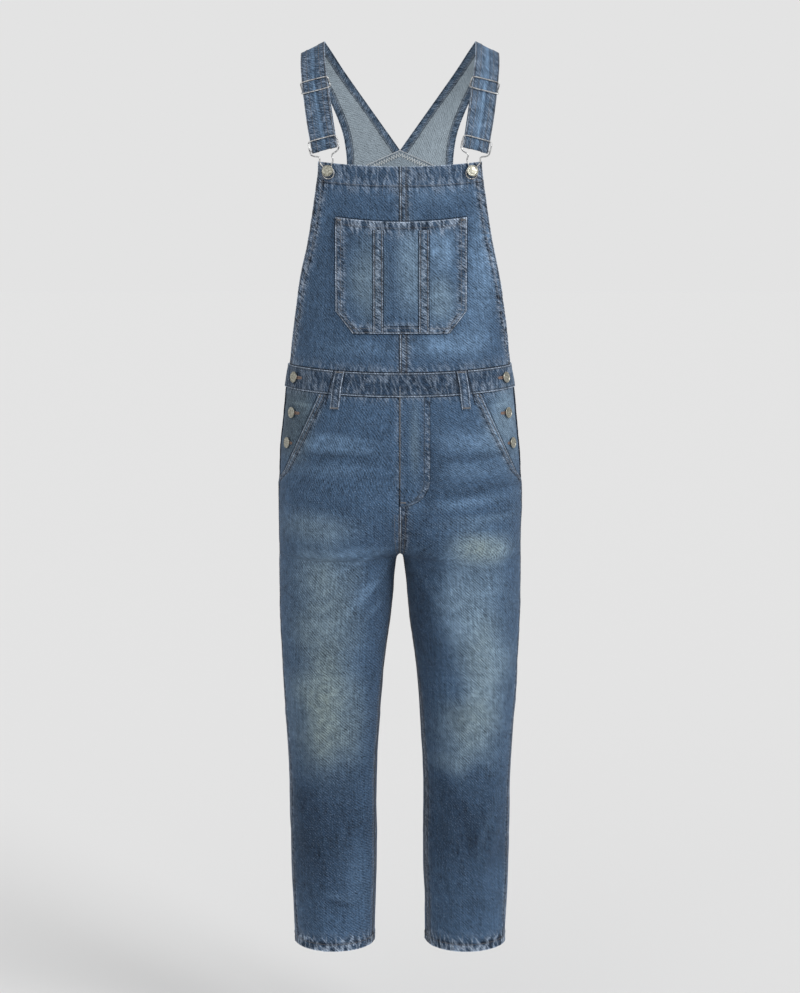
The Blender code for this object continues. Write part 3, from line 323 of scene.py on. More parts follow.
# The last colour of each side is the near-black of the painted shade.
RIGHT_COLOURS = ("#3a5069", "#243549", "#6a86a4", "#74807c", "#a6b4c6", "#131c29")
WRONG_COLOURS = ("#8d9aa4", "#4f6072", "#a2afba", "#9aa5a6", "#b6c0c9", "#2e3a49")
right_side = denim("washed indigo denim", *RIGHT_COLOURS)
wrong_side = denim("denim wrong side", *WRONG_COLOURS, lean=-1, contrast=0.34)
DENIM_SIDES = (right_side, wrong_side)
print("denim finishes:", [side.name for side in DENIM_SIDES])

# %% [markdown]
# ## Thread and metal
# Jeans are sewn with a thick cotton-covered polyester thread, here tobacco brown, washed until it is nearly
# the grey of the cloth, with a faded blue at the fly and the waistband and a rust brown round the
# buttonholes. The buttons and the buckle wires are nickel plate that has been aged: soft highlights, with a
# browner film in places.

# %% Thread and metal finishes


def thread(name, colour, dull):
    """Matt spun thread, uneven along its length."""
    tree, give, place = new_material(name)
    spots, ply = noise(tree, place, 260.0, 2.0), noise(tree, place, 2400.0, 0.0)
    return give(mixed(tree, spots, dull, colour), ply, 0.4, 0.0002, Roughness=0.8, Sheen_Weight=0.15)


def aged_metal(name, clean, film, low, high):
    """Plated metal under an uneven film: its roughness and its colour wander together."""
    tree, give, place = new_material(name)
    spots, scratches = noise(tree, place, 420.0, 3.0, 0.6), noise(tree, place, 1500.0, 1.0)
    share = add(tree, "ShaderNodeMapRange", {"Value": spots, "From Min": 0.38, "From Max": 0.66}).outputs[0]
    rough = add(tree, "ShaderNodeMapRange", {"Value": spots, "To Min": low, "To Max": high}).outputs[0]
    return give(mixed(tree, share, clean, film), scratches, 0.12, 0.0002, Roughness=rough, Metallic=1.0)


tobacco_thread = thread("washed tobacco thread", "#75706c", "#5b6069")
rust_thread = thread("faded rust thread", "#82675a", "#695a53")
tonal_thread = thread("faded blue thread", "#5d6b7c", "#475668")
pale_thread = thread("undyed overlock thread", "#e6e8e6", "#bfc5c8")
nickel = aged_metal("aged nickel plate", "#b0afa4", "#6f6d60", 0.24, 0.44)
wire_metal = aged_metal("aged nickel wire", "#cdcecd", "#66656a", 0.2, 0.4)
print("thread and metal finishes ready")

# %% [markdown]
# ## The skin
# The garment is laid on one smooth surface, the skin. At each height the skin is a ring: one round the
# hips, and below the crotch one for each leg. A short table gives the rings, and a place on the skin is an
# angle, -90 in front and 0 at the side, and a height. The CAD model uses the same tables, so the cloth made
# here lies exactly where its solids lie. Working on whole arrays of places at once keeps this fast.

# %% Sizes
DENIM = 0.0015  # one layer of cloth
SEAM_GAP = 0.0003  # between two panels that are sewn edge to edge
LAYER_GAP = 0.00045  # between a panel and what is sewn on it
HEM_RISE = 0.0008  # how far a turned hem or a felled seam stands proud
BAND = 0.011  # width of a felled seam, a pocket facing or a bib's side hem
STEP = 0.0012  # width of the slope at the edge of a raised band
HEM_LEVEL, HEM_DEPTH, CROTCH_LEVEL = -1.420, 0.013, -0.7855
WAIST_TOP, WAIST_BOTTOM = -0.4885, -0.5235  # at the sides
BAND_HIGH = WAIST_TOP - WAIST_BOTTOM
WAIST_DIP, WAIST_RISE, WAIST_HALF_WIDTH = 0.008, 0.012, 0.175
WAISTBAND, WAISTBAND_PROUD = 0.0026, 0.0008
OPENING_ANGLE = 4.0  # degrees behind the side line, where the front overlaps the back
NEAR_ANGLE, NEAR_HEIGHT = 0.2, 0.0006  # steps that measure a direction on the skin
SECTIONS = [  # height, outer, peak, inner, front, back, middle, power. In X a ring reaches from inner to
    # outer and is deepest at peak, in Y from front to back round its middle, and more power makes it squarer
    (-0.1, 0.186, 0, -0.186, -0.113, 0.106, 0, 2.8),
    (-0.184, 0.185, 0, -0.185, -0.1165, 0.106, 0, 2.8),
    (-0.27, 0.183, 0, -0.183, -0.1175, 0.104, 0, 2.7),
    (-0.36, 0.178, 0, -0.178, -0.114, 0.096, 0, 2.5),
    (-0.43, 0.1728, 0, -0.1728, -0.1095, 0.09, 0, 2.3),
    (-0.4885, 0.1722, 0, -0.1722, -0.107, 0.0905, 0, 2.15),
    (-0.509, 0.1757, 0, -0.1757, -0.108, 0.0955, 0, 2.1),
    (-0.534, 0.1793, 0, -0.1793, -0.1095, 0.104, 0, 2.1),
    (-0.584, 0.184, 0, -0.184, -0.113, 0.118, 0, 2.1),
    (-0.634, 0.1884, 0.014, -0.1884, -0.1145, 0.129, 0.001, 2.05),
    (-0.7, 0.1898, 0.05, -0.17, -0.113, 0.132, 0.002, 2),
    (-0.73, 0.1896, 0.066, -0.115, -0.1085, 0.1278, 0.003, 2),
    (-0.757, 0.189, 0.079, -0.06, -0.1035, 0.122, 0.004, 2),
    (-0.7755, 0.1886, 0.087, -0.022, -0.1, 0.1175, 0.005, 2),
    (-0.7855, 0.1886, 0.0905, 0.0002, -0.0985, 0.115, 0.006, 2),
    (-0.79, 0.1887, 0.092, 0.0042, -0.0978, 0.114, 0.006, 2),
    (-0.798, 0.1888, 0.0945, 0.0064, -0.0965, 0.1125, 0.006, 2),
    (-0.8125, 0.189, 0.098, 0.0082, -0.0945, 0.1105, 0.007, 2),
    (-0.864, 0.1894, 0.1005, 0.0126, -0.0895, 0.106, 0.008, 2),
    (-0.915, 0.1876, 0.103, 0.019, -0.085, 0.102, 0.009, 2),
    (-0.967, 0.1856, 0.1055, 0.0254, -0.0805, 0.0985, 0.01, 2),
    (-1.019, 0.1832, 0.1065, 0.03, -0.076, 0.0955, 0.011, 2),
    (-1.071, 0.18, 0.1065, 0.0332, -0.071, 0.093, 0.013, 2),
    (-1.123, 0.1772, 0.1065, 0.0364, -0.0665, 0.0905, 0.015, 2),
    (-1.175, 0.1758, 0.1065, 0.0375, -0.062, 0.089, 0.016, 2),
    (-1.228, 0.1758, 0.1065, 0.037, -0.058, 0.088, 0.018, 2),
    (-1.281, 0.175, 0.106, 0.0372, -0.0545, 0.087, 0.019, 2),
    (-1.334, 0.1735, 0.106, 0.0386, -0.051, 0.086, 0.02, 2),
    (-1.387, 0.1708, 0.1055, 0.0402, -0.048, 0.085, 0.021, 2),
    (-1.425, 0.1692, 0.105, 0.0411, -0.0465, 0.0845, 0.021, 2),
]
SEAM_TURNS = [  # heights, and the degrees by which the inseam and the outseam are turned to the front there
    (-0.6, 0, 3), (-0.7855, 0, 3), (-0.88, 5, 5), (-1.02, 14, 11), (-1.2, 19, 16), (-1.43, 20, 16),
]
BIB_EDGE = [  # heights and half widths of the bib, and of the back panel
    (-0.18, 0.1215), (-0.24, 0.1285), (-0.3, 0.1385), (-0.36, 0.151), (-0.42, 0.1605), (-0.47, 0.1668),
    (-0.5, 0.17),
]
BACK_EDGE = [
    (-0.15, 0.085), (-0.188, 0.083), (-0.24, 0.085), (-0.31, 0.096), (-0.37, 0.113), (-0.42, 0.133),
    (-0.46, 0.152), (-0.4885, 0.168), (-0.5, 0.1695),
]
Fold = namedtuple("Fold", "face x0 z0 x1 z1 half_width height")


def folds(face, rows):
    """Soft troughs and ridges between two places seen from the front, on one face of the legs."""
    return [Fold(face, *row) for row in rows]


FRONT_FOLDS = [
    (0.086, -1.13, 0.112, -1.285, 0.013, -0.0045), (0.158, -1.18, 0.124, -1.3, 0.01, 0.003),
    (0.108, -1.12, 0.152, -1.15, 0.01, -0.003), (0.05, -1.18, 0.07, -1.25, 0.014, -0.003),
    (0.085, -1.345, 0.14, -1.355, 0.012, -0.0025), (0.02, -0.8, 0.085, -0.85, 0.013, 0.002),
    (0.07, -0.69, 0.15, -0.675, 0.012, -0.002), (-0.165, -1.13, -0.152, -1.24, 0.01, 0.003),
    (-0.125, -1.35, -0.082, -1.368, 0.01, -0.0035), (-0.06, -1.1, -0.085, -1.24, 0.016, -0.003),
    (-0.02, -0.8, -0.085, -0.835, 0.012, 0.002), (-0.045, -0.85, -0.09, -0.905, 0.012, 0.0022),
    (-0.16, -0.7, -0.06, -0.695, 0.012, -0.002),
]
BACK_FOLDS = [
    (0.03, -0.815, 0.14, -0.85, 0.015, 0.003), (-0.03, -0.815, -0.135, -0.845, 0.015, 0.003),
    (0.05, -0.86, 0.13, -0.895, 0.014, -0.003), (-0.05, -0.855, -0.125, -0.885, 0.014, -0.003),
    (0.06, -1.06, 0.15, -1.085, 0.014, -0.004), (-0.06, -1.065, -0.15, -1.085, 0.014, -0.004),
    (0.07, -1.12, 0.14, -1.1, 0.013, 0.003), (-0.07, -1.12, -0.14, -1.105, 0.013, 0.003),
]
FOLDS = folds("front", FRONT_FOLDS) + folds("back", BACK_FOLDS)
STRAP = [  # X, Y and Z of its inner and outer edge, from the back panel over the shoulder to the buckle
    (0.0002, 0.1053, -0.1598, 0.0832, 0.101, -0.1972),
    (0.015, 0.1056, -0.139, 0.085, 0.1015, -0.164),
    (0.029, 0.104, -0.1195, 0.0905, 0.0995, -0.133),
    (0.047, 0.099, -0.0945, 0.101, 0.094, -0.104),
    (0.068, 0.088, -0.0655, 0.113, 0.083, -0.078),
    (0.088, 0.068, -0.0375, 0.1265, 0.064, -0.053),
    (0.103, 0.042, -0.015, 0.139, 0.04, -0.0325),
    (0.1115, 0.02, -0.003, 0.147, 0.019, -0.0205),
    (0.1145, 0, 0.0003, 0.1495, 0, -0.0172),
    (0.1145, -0.02, -0.007, 0.15, -0.018, -0.022),
    (0.113, -0.041, -0.028, 0.1495, -0.036, -0.04),
    (0.1086, -0.0633, -0.0644, 0.1461, -0.0574, -0.0733),
    (0.102, -0.088, -0.112, 0.1395, -0.083, -0.1205),
    (0.0944, -0.1125, -0.156, 0.131, -0.1085, -0.1655),
]
SLIDER_STATION = 11  # the row of STRAP where the slider sits
print("rings:", len(SECTIONS), "main folds:", len(FOLDS))

# %% Places on the skin


def blend(a, b, t):
    """From a to b, by a share."""
    return a + (b - a) * t


def ease(t):
    """A soft step from 0 to 1."""
    t = np.clip(t, 0.0, 1.0)
    return t * t * (3 - 2 * t)


def bell(x):
    """1 where x is 0, falling softly to 0 beyond 1."""
    return np.exp(-(x**2))


def unit(v):
    """Vectors of length 1."""
    return v / np.maximum(np.linalg.norm(v, axis=-1, keepdims=True), 1e-12)


def columns_at(rows, z):
    """The columns of a table at the heights z, by a monotone cubic between its rows."""
    table = np.array(rows)[::-1]
    knots, values = table[:, 0], table[:, 1:]
    z = np.clip(z, knots[0], knots[-1])
    span = np.diff(knots)
    slope = np.diff(values, axis=0) / span[:, None]
    low, high = slope[:-1], slope[1:]
    same_way = low * high > 0
    mean = 2 * low * high / np.where(same_way, low + high, 1.0)
    leave = np.zeros_like(values)
    leave[1:-1] = np.where(same_way, mean, 0.0)
    i = np.clip(np.searchsorted(knots, z, side="right") - 1, 0, len(span) - 1)
    t = ((z - knots[i]) / span[i])[..., None]
    reach = span[i][..., None]
    at = (2 * t**3 - 3 * t**2 + 1) * values[i] + (t**3 - 2 * t**2 + t) * leave[i] * reach
    at = at + (3 * t**2 - 2 * t**3) * values[i + 1] + (t**3 - t**2) * leave[i + 1] * reach
    return np.moveaxis(at, -1, 0)


def ring(angle, z):
    """The skin's points at angles and heights, before the folds."""
    angle, z = np.broadcast_arrays(np.asarray(angle, float), np.asarray(z, float))
    outer, peak, inner, front, back, middle, power = columns_at(SECTIONS, z)
    c, d = np.cos(np.radians(angle)), np.sin(np.radians(angle))
    c, d = (np.sign(part) * np.abs(part) ** (2 / power) for part in (c, d))
    reach = np.where(c > 0, outer - peak, peak - inner)
    depth = np.where(d < 0, middle - front, back - middle)
    return np.stack([peak + reach * c, middle + depth * d, z], -1)


def angle_at(x, z, face="front"):
    """The angle where the ring at height z is x from the centre plane, on its front or its back."""
    outer, peak, inner, front, back, middle, power = columns_at(SECTIONS, np.asarray(z, float))
    share = np.where(x > peak, (x - peak) / (outer - peak), (x - peak) / (peak - inner))
    share = np.clip(share, -1.0, 1.0)
    angle = np.degrees(np.arccos(np.sign(share) * np.abs(share) ** (power / 2)))
    return -angle if face == "front" else angle


def turn_at(angle, z):
    """A short way along the ring."""
    return ring(angle + NEAR_ANGLE, z) - ring(angle - NEAR_ANGLE, z)


def outward(angle, z):
    """The direction that points out of the skin."""
    climb = ring(angle, z + NEAR_HEIGHT) - ring(angle, z - NEAR_HEIGHT)
    return unit(np.cross(turn_at(angle, z), climb))


def degrees_of(length, angle, z):
    """The angle that a short length takes up along the ring."""
    return length * 2 * NEAR_ANGLE / np.linalg.norm(turn_at(angle, z), axis=-1)


def waist_line(level, x, face):
    """The height of a waistband edge, which dips at the centre front and rises at the centre back."""
    bend = np.maximum(0.0, 1 - (x / WAIST_HALF_WIDTH) ** 2)
    return level - WAIST_DIP * bend if face == "front" else level + WAIST_RISE * bend


def waist_height(level, angle, face):
    """The height of a waistband edge at an angle."""
    z = np.full(np.shape(angle), level)
    for _ in range(4):
        z = waist_line(level, ring(angle, z)[..., 0], face)
    return z


print("hip ring is", round(float(ring(0.0, -0.6)[0]) * 2000), "mm wide at the level of the side buttons")

# %% [markdown]
# ## Folds, ripples, wash and painted light
# Worn cloth is never smooth. The main folds are the CAD model's own. Finer creases are added here: drag
# lines from the crotch, soft bends at the knees, and small ripples everywhere. `soft_noise` is a plain
# value noise: a hash gives each corner of a grid a number, and the numbers are blended between the corners,
# so the same seed gives the same cloth each time. The wash is a table of soft spots, each paler, greyer or
# darker than the rest. A few spots are painted light and shade instead: shade down the inner thigh, in a
# fold's trough, on the left hip and a little on the bib's left side, and light on a fold's ridge, on the
# right hip and on the bib's right side.

# %% Folds and ripples
FOLD_ENDS, FOLD_SIDES = 0.35, 1.4
RIPPLE, RIPPLE_WAVE = 0.0007, 0.050
RIPPLES = ((RIPPLE_WAVE, 1.0), (RIPPLE_WAVE / 2.3, 0.45))  # wave lengths and shares
AROUND = 0.11  # metres of cloth for each radian round the leg
FRONT_CREASES = [
    (0.012, -0.792, 0.05, -0.826, 0.005, 0.0016), (0.02, -0.812, 0.058, -0.868, 0.006, 0.0014),
    (0.03, -0.76, 0.085, -0.744, 0.007, 0.0013), (0.016, -0.735, 0.07, -0.705, 0.007, -0.0012),
    (0.04, -0.655, 0.15, -0.648, 0.006, -0.001), (0.045, -0.62, 0.14, -0.628, 0.006, 0.0008),
    (0.11, -1, 0.15, -1.03, 0.008, 0.0014), (0.06, -1.02, 0.085, -1.06, 0.008, -0.0012),
    (0.15, -1.15, 0.118, -1.245, 0.006, 0.0016), (0.1, -1.31, 0.14, -1.3, 0.007, 0.001),
    (0.052, -1.1, 0.072, -1.15, 0.007, -0.0012), (-0.012, -0.792, -0.048, -0.808, 0.005, 0.0016),
    (-0.016, -0.806, -0.056, -0.846, 0.006, 0.0014), (-0.026, -0.758, -0.095, -0.742, 0.007, 0.0013),
    (-0.018, -0.728, -0.08, -0.72, 0.006, -0.001), (-0.045, -0.61, -0.15, -0.618, 0.005, -0.001),
    (-0.04, -0.636, -0.145, -0.64, 0.006, -0.0009), (-0.145, -1.08, -0.16, -1.15, 0.006, -0.0016),
    (-0.11, -1.11, -0.07, -1.15, 0.008, 0.0012), (-0.06, -1.225, -0.11, -1.245, 0.008, 0.001),
    (-0.12, -1.335, -0.085, -1.352, 0.006, -0.0018),
]
BACK_CREASES = [
    (0.02, -0.8, 0.08, -0.824, 0.007, 0.0018), (-0.02, -0.8, -0.075, -0.822, 0.007, 0.0018),
    (0.06, -1.085, 0.14, -1.095, 0.006, -0.0016), (-0.06, -1.088, -0.14, -1.096, 0.006, -0.0016),
    (0.08, -1.045, 0.15, -1.06, 0.006, 0.0014), (-0.08, -1.047, -0.15, -1.062, 0.006, 0.0014),
    (0.07, -1.3, 0.13, -1.318, 0.008, -0.0014), (-0.075, -1.29, -0.135, -1.31, 0.008, -0.0014),
]
CREASES = folds("front", FRONT_CREASES) + folds("back", BACK_CREASES)


def lattice(i, j, seed):
    """A number from 0 to 1 for each corner of a grid."""
    mask = 0xFFFFFFFF
    h = (i * 374761393 + j * 668265263 + seed * 1274126177) & mask
    h = ((h ^ (h >> 13)) * 1103515245) & mask
    return ((h ^ (h >> 16)) & 0xFFFF) / 65535.0


def soft_noise(x, y, seed):
    """Smooth noise from -1 to 1, which changes over a distance of 1."""
    i, j = np.floor(x).astype(np.int64), np.floor(y).astype(np.int64)
    s, t = ease(x - i), ease(y - j)
    low = blend(lattice(i, j, seed), lattice(i + 1, j, seed), s)
    high = blend(lattice(i, j + 1, seed), lattice(i + 1, j + 1, seed), s)
    return 2 * blend(low, high, t) - 1


def fold_height(points, normals, side):
    """How far folds, creases and ripples move places of the skin out. side is -1 where x is below 0."""
    total = np.zeros(points.shape[:-1])
    steep = np.minimum(1.0, np.abs(normals[..., 1]) * FOLD_SIDES)
    for fold in FOLDS + CREASES:
        if fold.x0 * side < 0:
            continue
        start = np.array([abs(fold.x0), fold.z0])
        along = np.array([abs(fold.x1), fold.z1]) - start
        away = points[..., [0, 2]] - start
        t = np.clip(away @ along / (along @ along), 0.0, 1.0)
        distance = np.linalg.norm(away - t[..., None] * along, axis=-1)
        height = fold.height * blend(FOLD_ENDS, 1.0, np.sin(np.pi * t)) * bell(distance / fold.half_width)
        facing = normals[..., 1] < 0 if fold.face == "front" else normals[..., 1] >= 0
        total += np.where(facing, height, 0.0) * steep
    turn = np.arctan2(normals[..., 1], normals[..., 0]) * AROUND
    for wave, share in RIPPLES:
        total += RIPPLE * share * soft_noise(turn / wave, points[..., 2] / wave, 11 if side > 0 else 23)
    return total


def skin(angle, z, lift=0.0, side=1):
    """Places on the folded skin, moved out by lift, and the directions out. side -1 mirrors them."""
    normals = outward(angle, z)
    points = ring(angle, z)
    points = points + normals * (lift + fold_height(points, normals, side))[..., None]
    mirror = np.array([side, 1.0, 1.0])
    return points * mirror, normals * mirror


print("folds:", len(FOLDS), "and finer creases:", len(CREASES))

# %% The wash, with painted light and shade
SPOT_EDGE, SPOT_WARP = 1.35, 0.22  # how crisp a spot's edge is, and how far it wanders
SWAY_WIDE, SWAY_HIGH = 0.030, 0.045  # over what distance it wanders
FACING, FACING_START = 2.2, 0.25  # how soon a spot ends where the cloth turns away
Spot = namedtuple("Spot", "x z wide high turn fade grey dark", defaults=(0, 0))
FRONT_SPOTS = [  # soft spots: half sizes in metres, turn in degrees, then three shares
    # the seen left leg, from the hip down
    (-0.1, -0.612, 0.06, 0.01, -2, 0.44), (-0.095, -0.597, 0.05, 0.006, -2, 0.4),
    (-0.085, -0.622, 0.066, 0.005, 1, 0, 0, 0.52), (-0.1, -0.645, 0.055, 0.01, 3, 0.22),
    (-0.1, -0.7, 0.055, 0.006, -4, 0, 0, 0.3), (-0.125, -0.735, 0.05, 0.022, 0, 0.28, 0.24),
    (-0.085, -0.772, 0.055, 0.006, 6, 0.4), (-0.11, -0.8, 0.04, 0.035, 0, 0.18, 0.18),
    (-0.115, -0.9, 0.046, 0.11, 0, 0.18, 0.4), (-0.112, -1.042, 0.044, 0.084, 4, 0.24, 0.6),
    (-0.06, -0.84, 0.006, 0.03, -38, 0.4), (-0.054, -0.783, 0.046, 0.0035, 25, 0.36),
    (-0.041, -0.829, 0.04, 0.0035, 52, 0.34), (-0.045, -0.87, 0.005, 0.025, -42, 0.3),
    (-0.04, -0.96, 0.02, 0.13, 2, 0, 0, 0.1), (-0.12, -1.22, 0.08, 0.11, 0, 0, 0, 0.85),
    (-0.15, -1.26, 0.03, 0.12, 0, 0, 0, 0.3), (-0.075, -1.29, 0.024, 0.05, 12, 0.16),
    (-0.104, -1.339, 0.02, 0.004, -18, 0, 0, 0.6), (-0.1, -1.329, 0.022, 0.005, -18, 0.34),
    (0.008, -0.735, 0.008, 0.06, 0, 0, 0, 0.6), (0, -0.745, 0.03, 0.03, 0, 0, 0, 0.34),
    (0.022, -0.6, 0.008, 0.055, 0, 0.2, 0.2, 0.1),
    # the seen right leg
    (0.11, -0.6, 0.05, 0.02, 0, 0.42), (0.12, -0.625, 0.05, 0.005, 2, 0, 0, 0.34),
    (0.11, -0.645, 0.05, 0.012, 0, 0.3), (0.125, -0.674, 0.06, 0.006, 6, 0, 0, 0.42),
    (0.1, -0.694, 0.06, 0.008, 6, 0.4), (0.12, -0.722, 0.055, 0.008, 4, 0.26, 0.1),
    (0.12, -0.765, 0.045, 0.022, 0, 0.62, 0.62), (0.11, -0.85, 0.046, 0.075, 0, 0.55, 0.26),
    (0.13, -0.965, 0.034, 0.085, 0, 0.62, 0.46), (0.11, -1.06, 0.042, 0.055, 12, 0.55, 0.46),
    (0.046, -0.831, 0.038, 0.0035, -56, 0.28), (0.05, -0.775, 0.04, 0.0035, -18, 0.3),
    # (0.03, -0.87) and (0.045, -1) are painted shade down the inner thigh.
    (0.09, -1.035, 0.016, 0.026, 10, 0, 0.1, 0.3), (0.03, -0.87, 0.024, 0.11, -6, 0, 0, 0.66),
    (0.046, -0.65, 0.014, 0.085, 4, 0, 0, 0.62), (0.045, -1, 0.02, 0.1, -4, 0, 0, 0.4),
    # (0.088, -1.185) is painted shade in a fold's trough, and (0.138, -1.22) a painted highlight on a fold's
    # ridge.
    (0.11, -1.225, 0.085, 0.11, 0, 0, 0, 0.85), (0.088, -1.185, 0.014, 0.06, 22, 0, 0, 0.7),
    (0.138, -1.22, 0.008, 0.06, -16, 0.34), (0.08, -1.11, 0.03, 0.018, 0, 0.4, 0.2),
    # the bib and its pocket
    # (0.128, -0.33) is painted light on the bib's right side, where the lamp falls, and (-0.125, -0.33) a
    # little painted shade on its left.
    (0.128, -0.33, 0.028, 0.11, -8, 0.66), (0.075, -0.45, 0.045, 0.02, 0, 0.42),
    (-0.125, -0.33, 0.022, 0.12, 8, 0.04, 0, 0.04), (-0.05, -0.35, 0.024, 0.06, 0, 0.28, 0.28),
    (0.016, -0.34, 0.022, 0.06, 0, 0.6, 0.24), (0.062, -0.31, 0.02, 0.036, 0, 0.74, 0.06),
    (0.06, -0.385, 0.022, 0.032, 0, 0.6, 0.28), (0.05, -0.23, 0.06, 0.016, 0, 0.26),
    (-0.06, -0.46, 0.06, 0.012, 0, 0.2), (0.06, -0.46, 0.05, 0.014, 0, 0.24),
    (-0.03, -0.51, 0.18, 0.02, 0, 0, 0, 0.4),
    # behind the slant pockets
    # The two spots at z -0.57 are painted shade on the left hip and painted light on the right hip, as the
    # lamp shines from the right; their grey is the bearers' own.
    (-0.165, -0.57, 0.03, 0.06, 0, 0, 0.6, 0.66), (0.165, -0.57, 0.03, 0.06, 0, 0.55, 0.3),
    (-0.152, -0.5475, 0.016, 0.0034, -12, 0.7, 0.1, -0.4), (0.154, -0.548, 0.016, 0.0034, 12, 0.5, 0.1),
]
BACK_SPOTS = [  # seat, thighs and the hollows of the knees
    (0.085, -0.665, 0.06, 0.06, 0, 0.42, 0.12), (-0.085, -0.665, 0.06, 0.06, 0, 0.42, 0.12),
    (0.1, -0.9, 0.045, 0.1, 0, 0.32, 0.2), (-0.1, -0.9, 0.045, 0.1, 0, 0.32, 0.2),
    (0.1, -1.052, 0.05, 0.007, 10, 0.4), (-0.1, -1.055, 0.05, 0.007, -10, 0.4),
    (0.1, -1.085, 0.05, 0.008, 10, 0, 0, 0.4), (-0.1, -1.088, 0.05, 0.008, -10, 0, 0, 0.4),
    (0, -1.25, 0.22, 0.1, 0, 0, 0, 0.45), (0, -0.35, 0.06, 0.08, 0, 0.24),
]


def wash(points, normals):
    """The shares of fade, grey and dark at places of the cloth; a few spots paint light and shade."""
    total = np.zeros(points.shape[:-1] + (3,))
    x, z = points[..., 0], points[..., 2]
    sway, swing = (SPOT_WARP * soft_noise(x / SWAY_WIDE, z / SWAY_HIGH, seed) for seed in (81, 82))
    for spots, way in ((FRONT_SPOTS, -normals[..., 1]), (BACK_SPOTS, normals[..., 1])):
        facing = ease(way * FACING + FACING_START)
        for spot in (Spot(*row) for row in spots):
            turn = math.radians(spot.turn)
            dx, dz = x - spot.x, z - spot.z
            a = (dx * math.cos(turn) + dz * math.sin(turn)) / spot.wide + sway
            b = (dz * math.cos(turn) - dx * math.sin(turn)) / spot.high + swing
            share = np.exp(-((a**2 + b**2) ** SPOT_EDGE)) * facing
            total += share[..., None] * np.array([spot.fade, spot.grey, spot.dark])
    return np.clip(total, 0.0, 1.0)


print("spots in the wash:", len(FRONT_SPOTS) + len(BACK_SPOTS))

# %% [markdown]
# ## A piece of cloth
# Each cut piece is a thin wall on the skin: an outer face, an inner face and a rounded rim. Its shape is
# drawn on a flat chart first, with coordinates u and v, and the chart's faces are cut finer near the edges,
# where seams pucker the cloth. Washing shrinks the sewing thread and the layers by different amounts, so
# every seam pulls the cloth into short slanting ridges, called roping. `Finish` says how each edge is sewn:
# how wide its turned band is, how far that stands proud, how high the ridges are, and where the stitch rows
# run.

# %% Edges and how they are sewn
Finish = namedtuple("Finish", "edge folded band shade rise rope wave lean reach wear stitches seed")
PINCH, PINCH_WIDE = 0.00022, 0.0010  # the groove that a stitch row pulls
FAR = 40.0  # millimetres: farther than any sewing reaches
ROW_IN = 0.0016  # from a hem's inner edge to its stitch row
BROAD, FINE, FINE_WAVE = 0.75, 0.45, 0.47  # a pucker's two sizes
BROAD_LONG, FINE_LONG = 2.6, 1.4  # how much longer than wide each is
PINCH_FLAT = 0.5  # how far a stitch row flattens the puckers that it crosses
FINE_REACH = 1.4  # how far past its puckers' reach an edge is cut finer


def hem(edge, depth, seed, row=None, rope=0.00055, wave=0.0062, lean=0.9, reach=0.010, wear=0.85, shade=0.25):
    """A folded hem, with one stitch row near its inner edge."""
    rows = (row or depth - ROW_IN,)
    return Finish(edge, True, depth, shade, HEM_RISE, rope, wave, lean, reach, wear, rows, seed)


def felled(edge, seed, band=BAND, rise=HEM_RISE, rope=0.00036, rows=(0.0020, 0.0088), wear=0.75, shade=0.3):
    """A felled seam or a twice sewn fold, with two stitch rows."""
    return Finish(edge, True, band, shade, rise, rope, 0.0070, 0.5, 0.005, wear, rows, seed)


def seam(edge, seed, rope=0.00030, reach=0.009, rows=(), wear=0.5, wave=0.0080, lean=0.3):
    """A plain seam, whose puckers fade into the panel."""
    return Finish(edge, False, 0.0, 0.0, 0.0, rope, wave, lean, reach, wear, rows, seed)


print("a hem of 13 mm:", hem("bottom", HEM_DEPTH, 1)[:3])

# %% From a flat chart to a wall
CLOTHS = {}  # every cut piece, by the name of the CAD node that it stands for


def chart(columns, rows, near_edge, cuts):
    """A flat mesh on a grid, cut finer where near_edge says so: its corners (u, v), its faces and its rim."""
    bm = bmesh.new()
    grid = [[bm.verts.new((u, v, 0.0)) for u in columns] for v in rows]
    for upper, lower in zip(grid, grid[1:]):
        for i in range(len(columns) - 1):
            bm.faces.new((upper[i], upper[i + 1], lower[i + 1], lower[i]))
    if cuts:
        centres = np.array([f.calc_center_median()[:2] for f in bm.faces])
        close = near_edge(centres[:, 0], centres[:, 1])
        edges = {e for f, fine in zip(bm.faces, close) if fine for e in f.edges}
        edges |= {e for e in bm.edges if e.is_boundary}
        bmesh.ops.subdivide_edges(bm, edges=list(edges), cuts=cuts, use_grid_fill=True)
        bmesh.ops.triangulate(bm, faces=[f for f in bm.faces if len(f.verts) > 4])
    bm.verts.index_update()
    corners = np.array([v.co[:2] for v in bm.verts])
    faces = [[v.index for v in f.verts] for f in bm.faces]
    u0, u1, v0, v1 = columns[0], columns[-1], rows[0], rows[-1]

    def along_rim(k):
        s, t = (corners[k, 0] - u0) / (u1 - u0), (corners[k, 1] - v0) / (v1 - v0)
        sides = (s, t), (1 + t, 1 - s), (3 - s, 1 - t), (4 - t, s)
        return min(sides, key=lambda side: side[1])[0] % 4

    rim = sorted((v.index for v in bm.verts if v.is_boundary), key=along_rim)
    bm.free()
    return corners, faces, rim


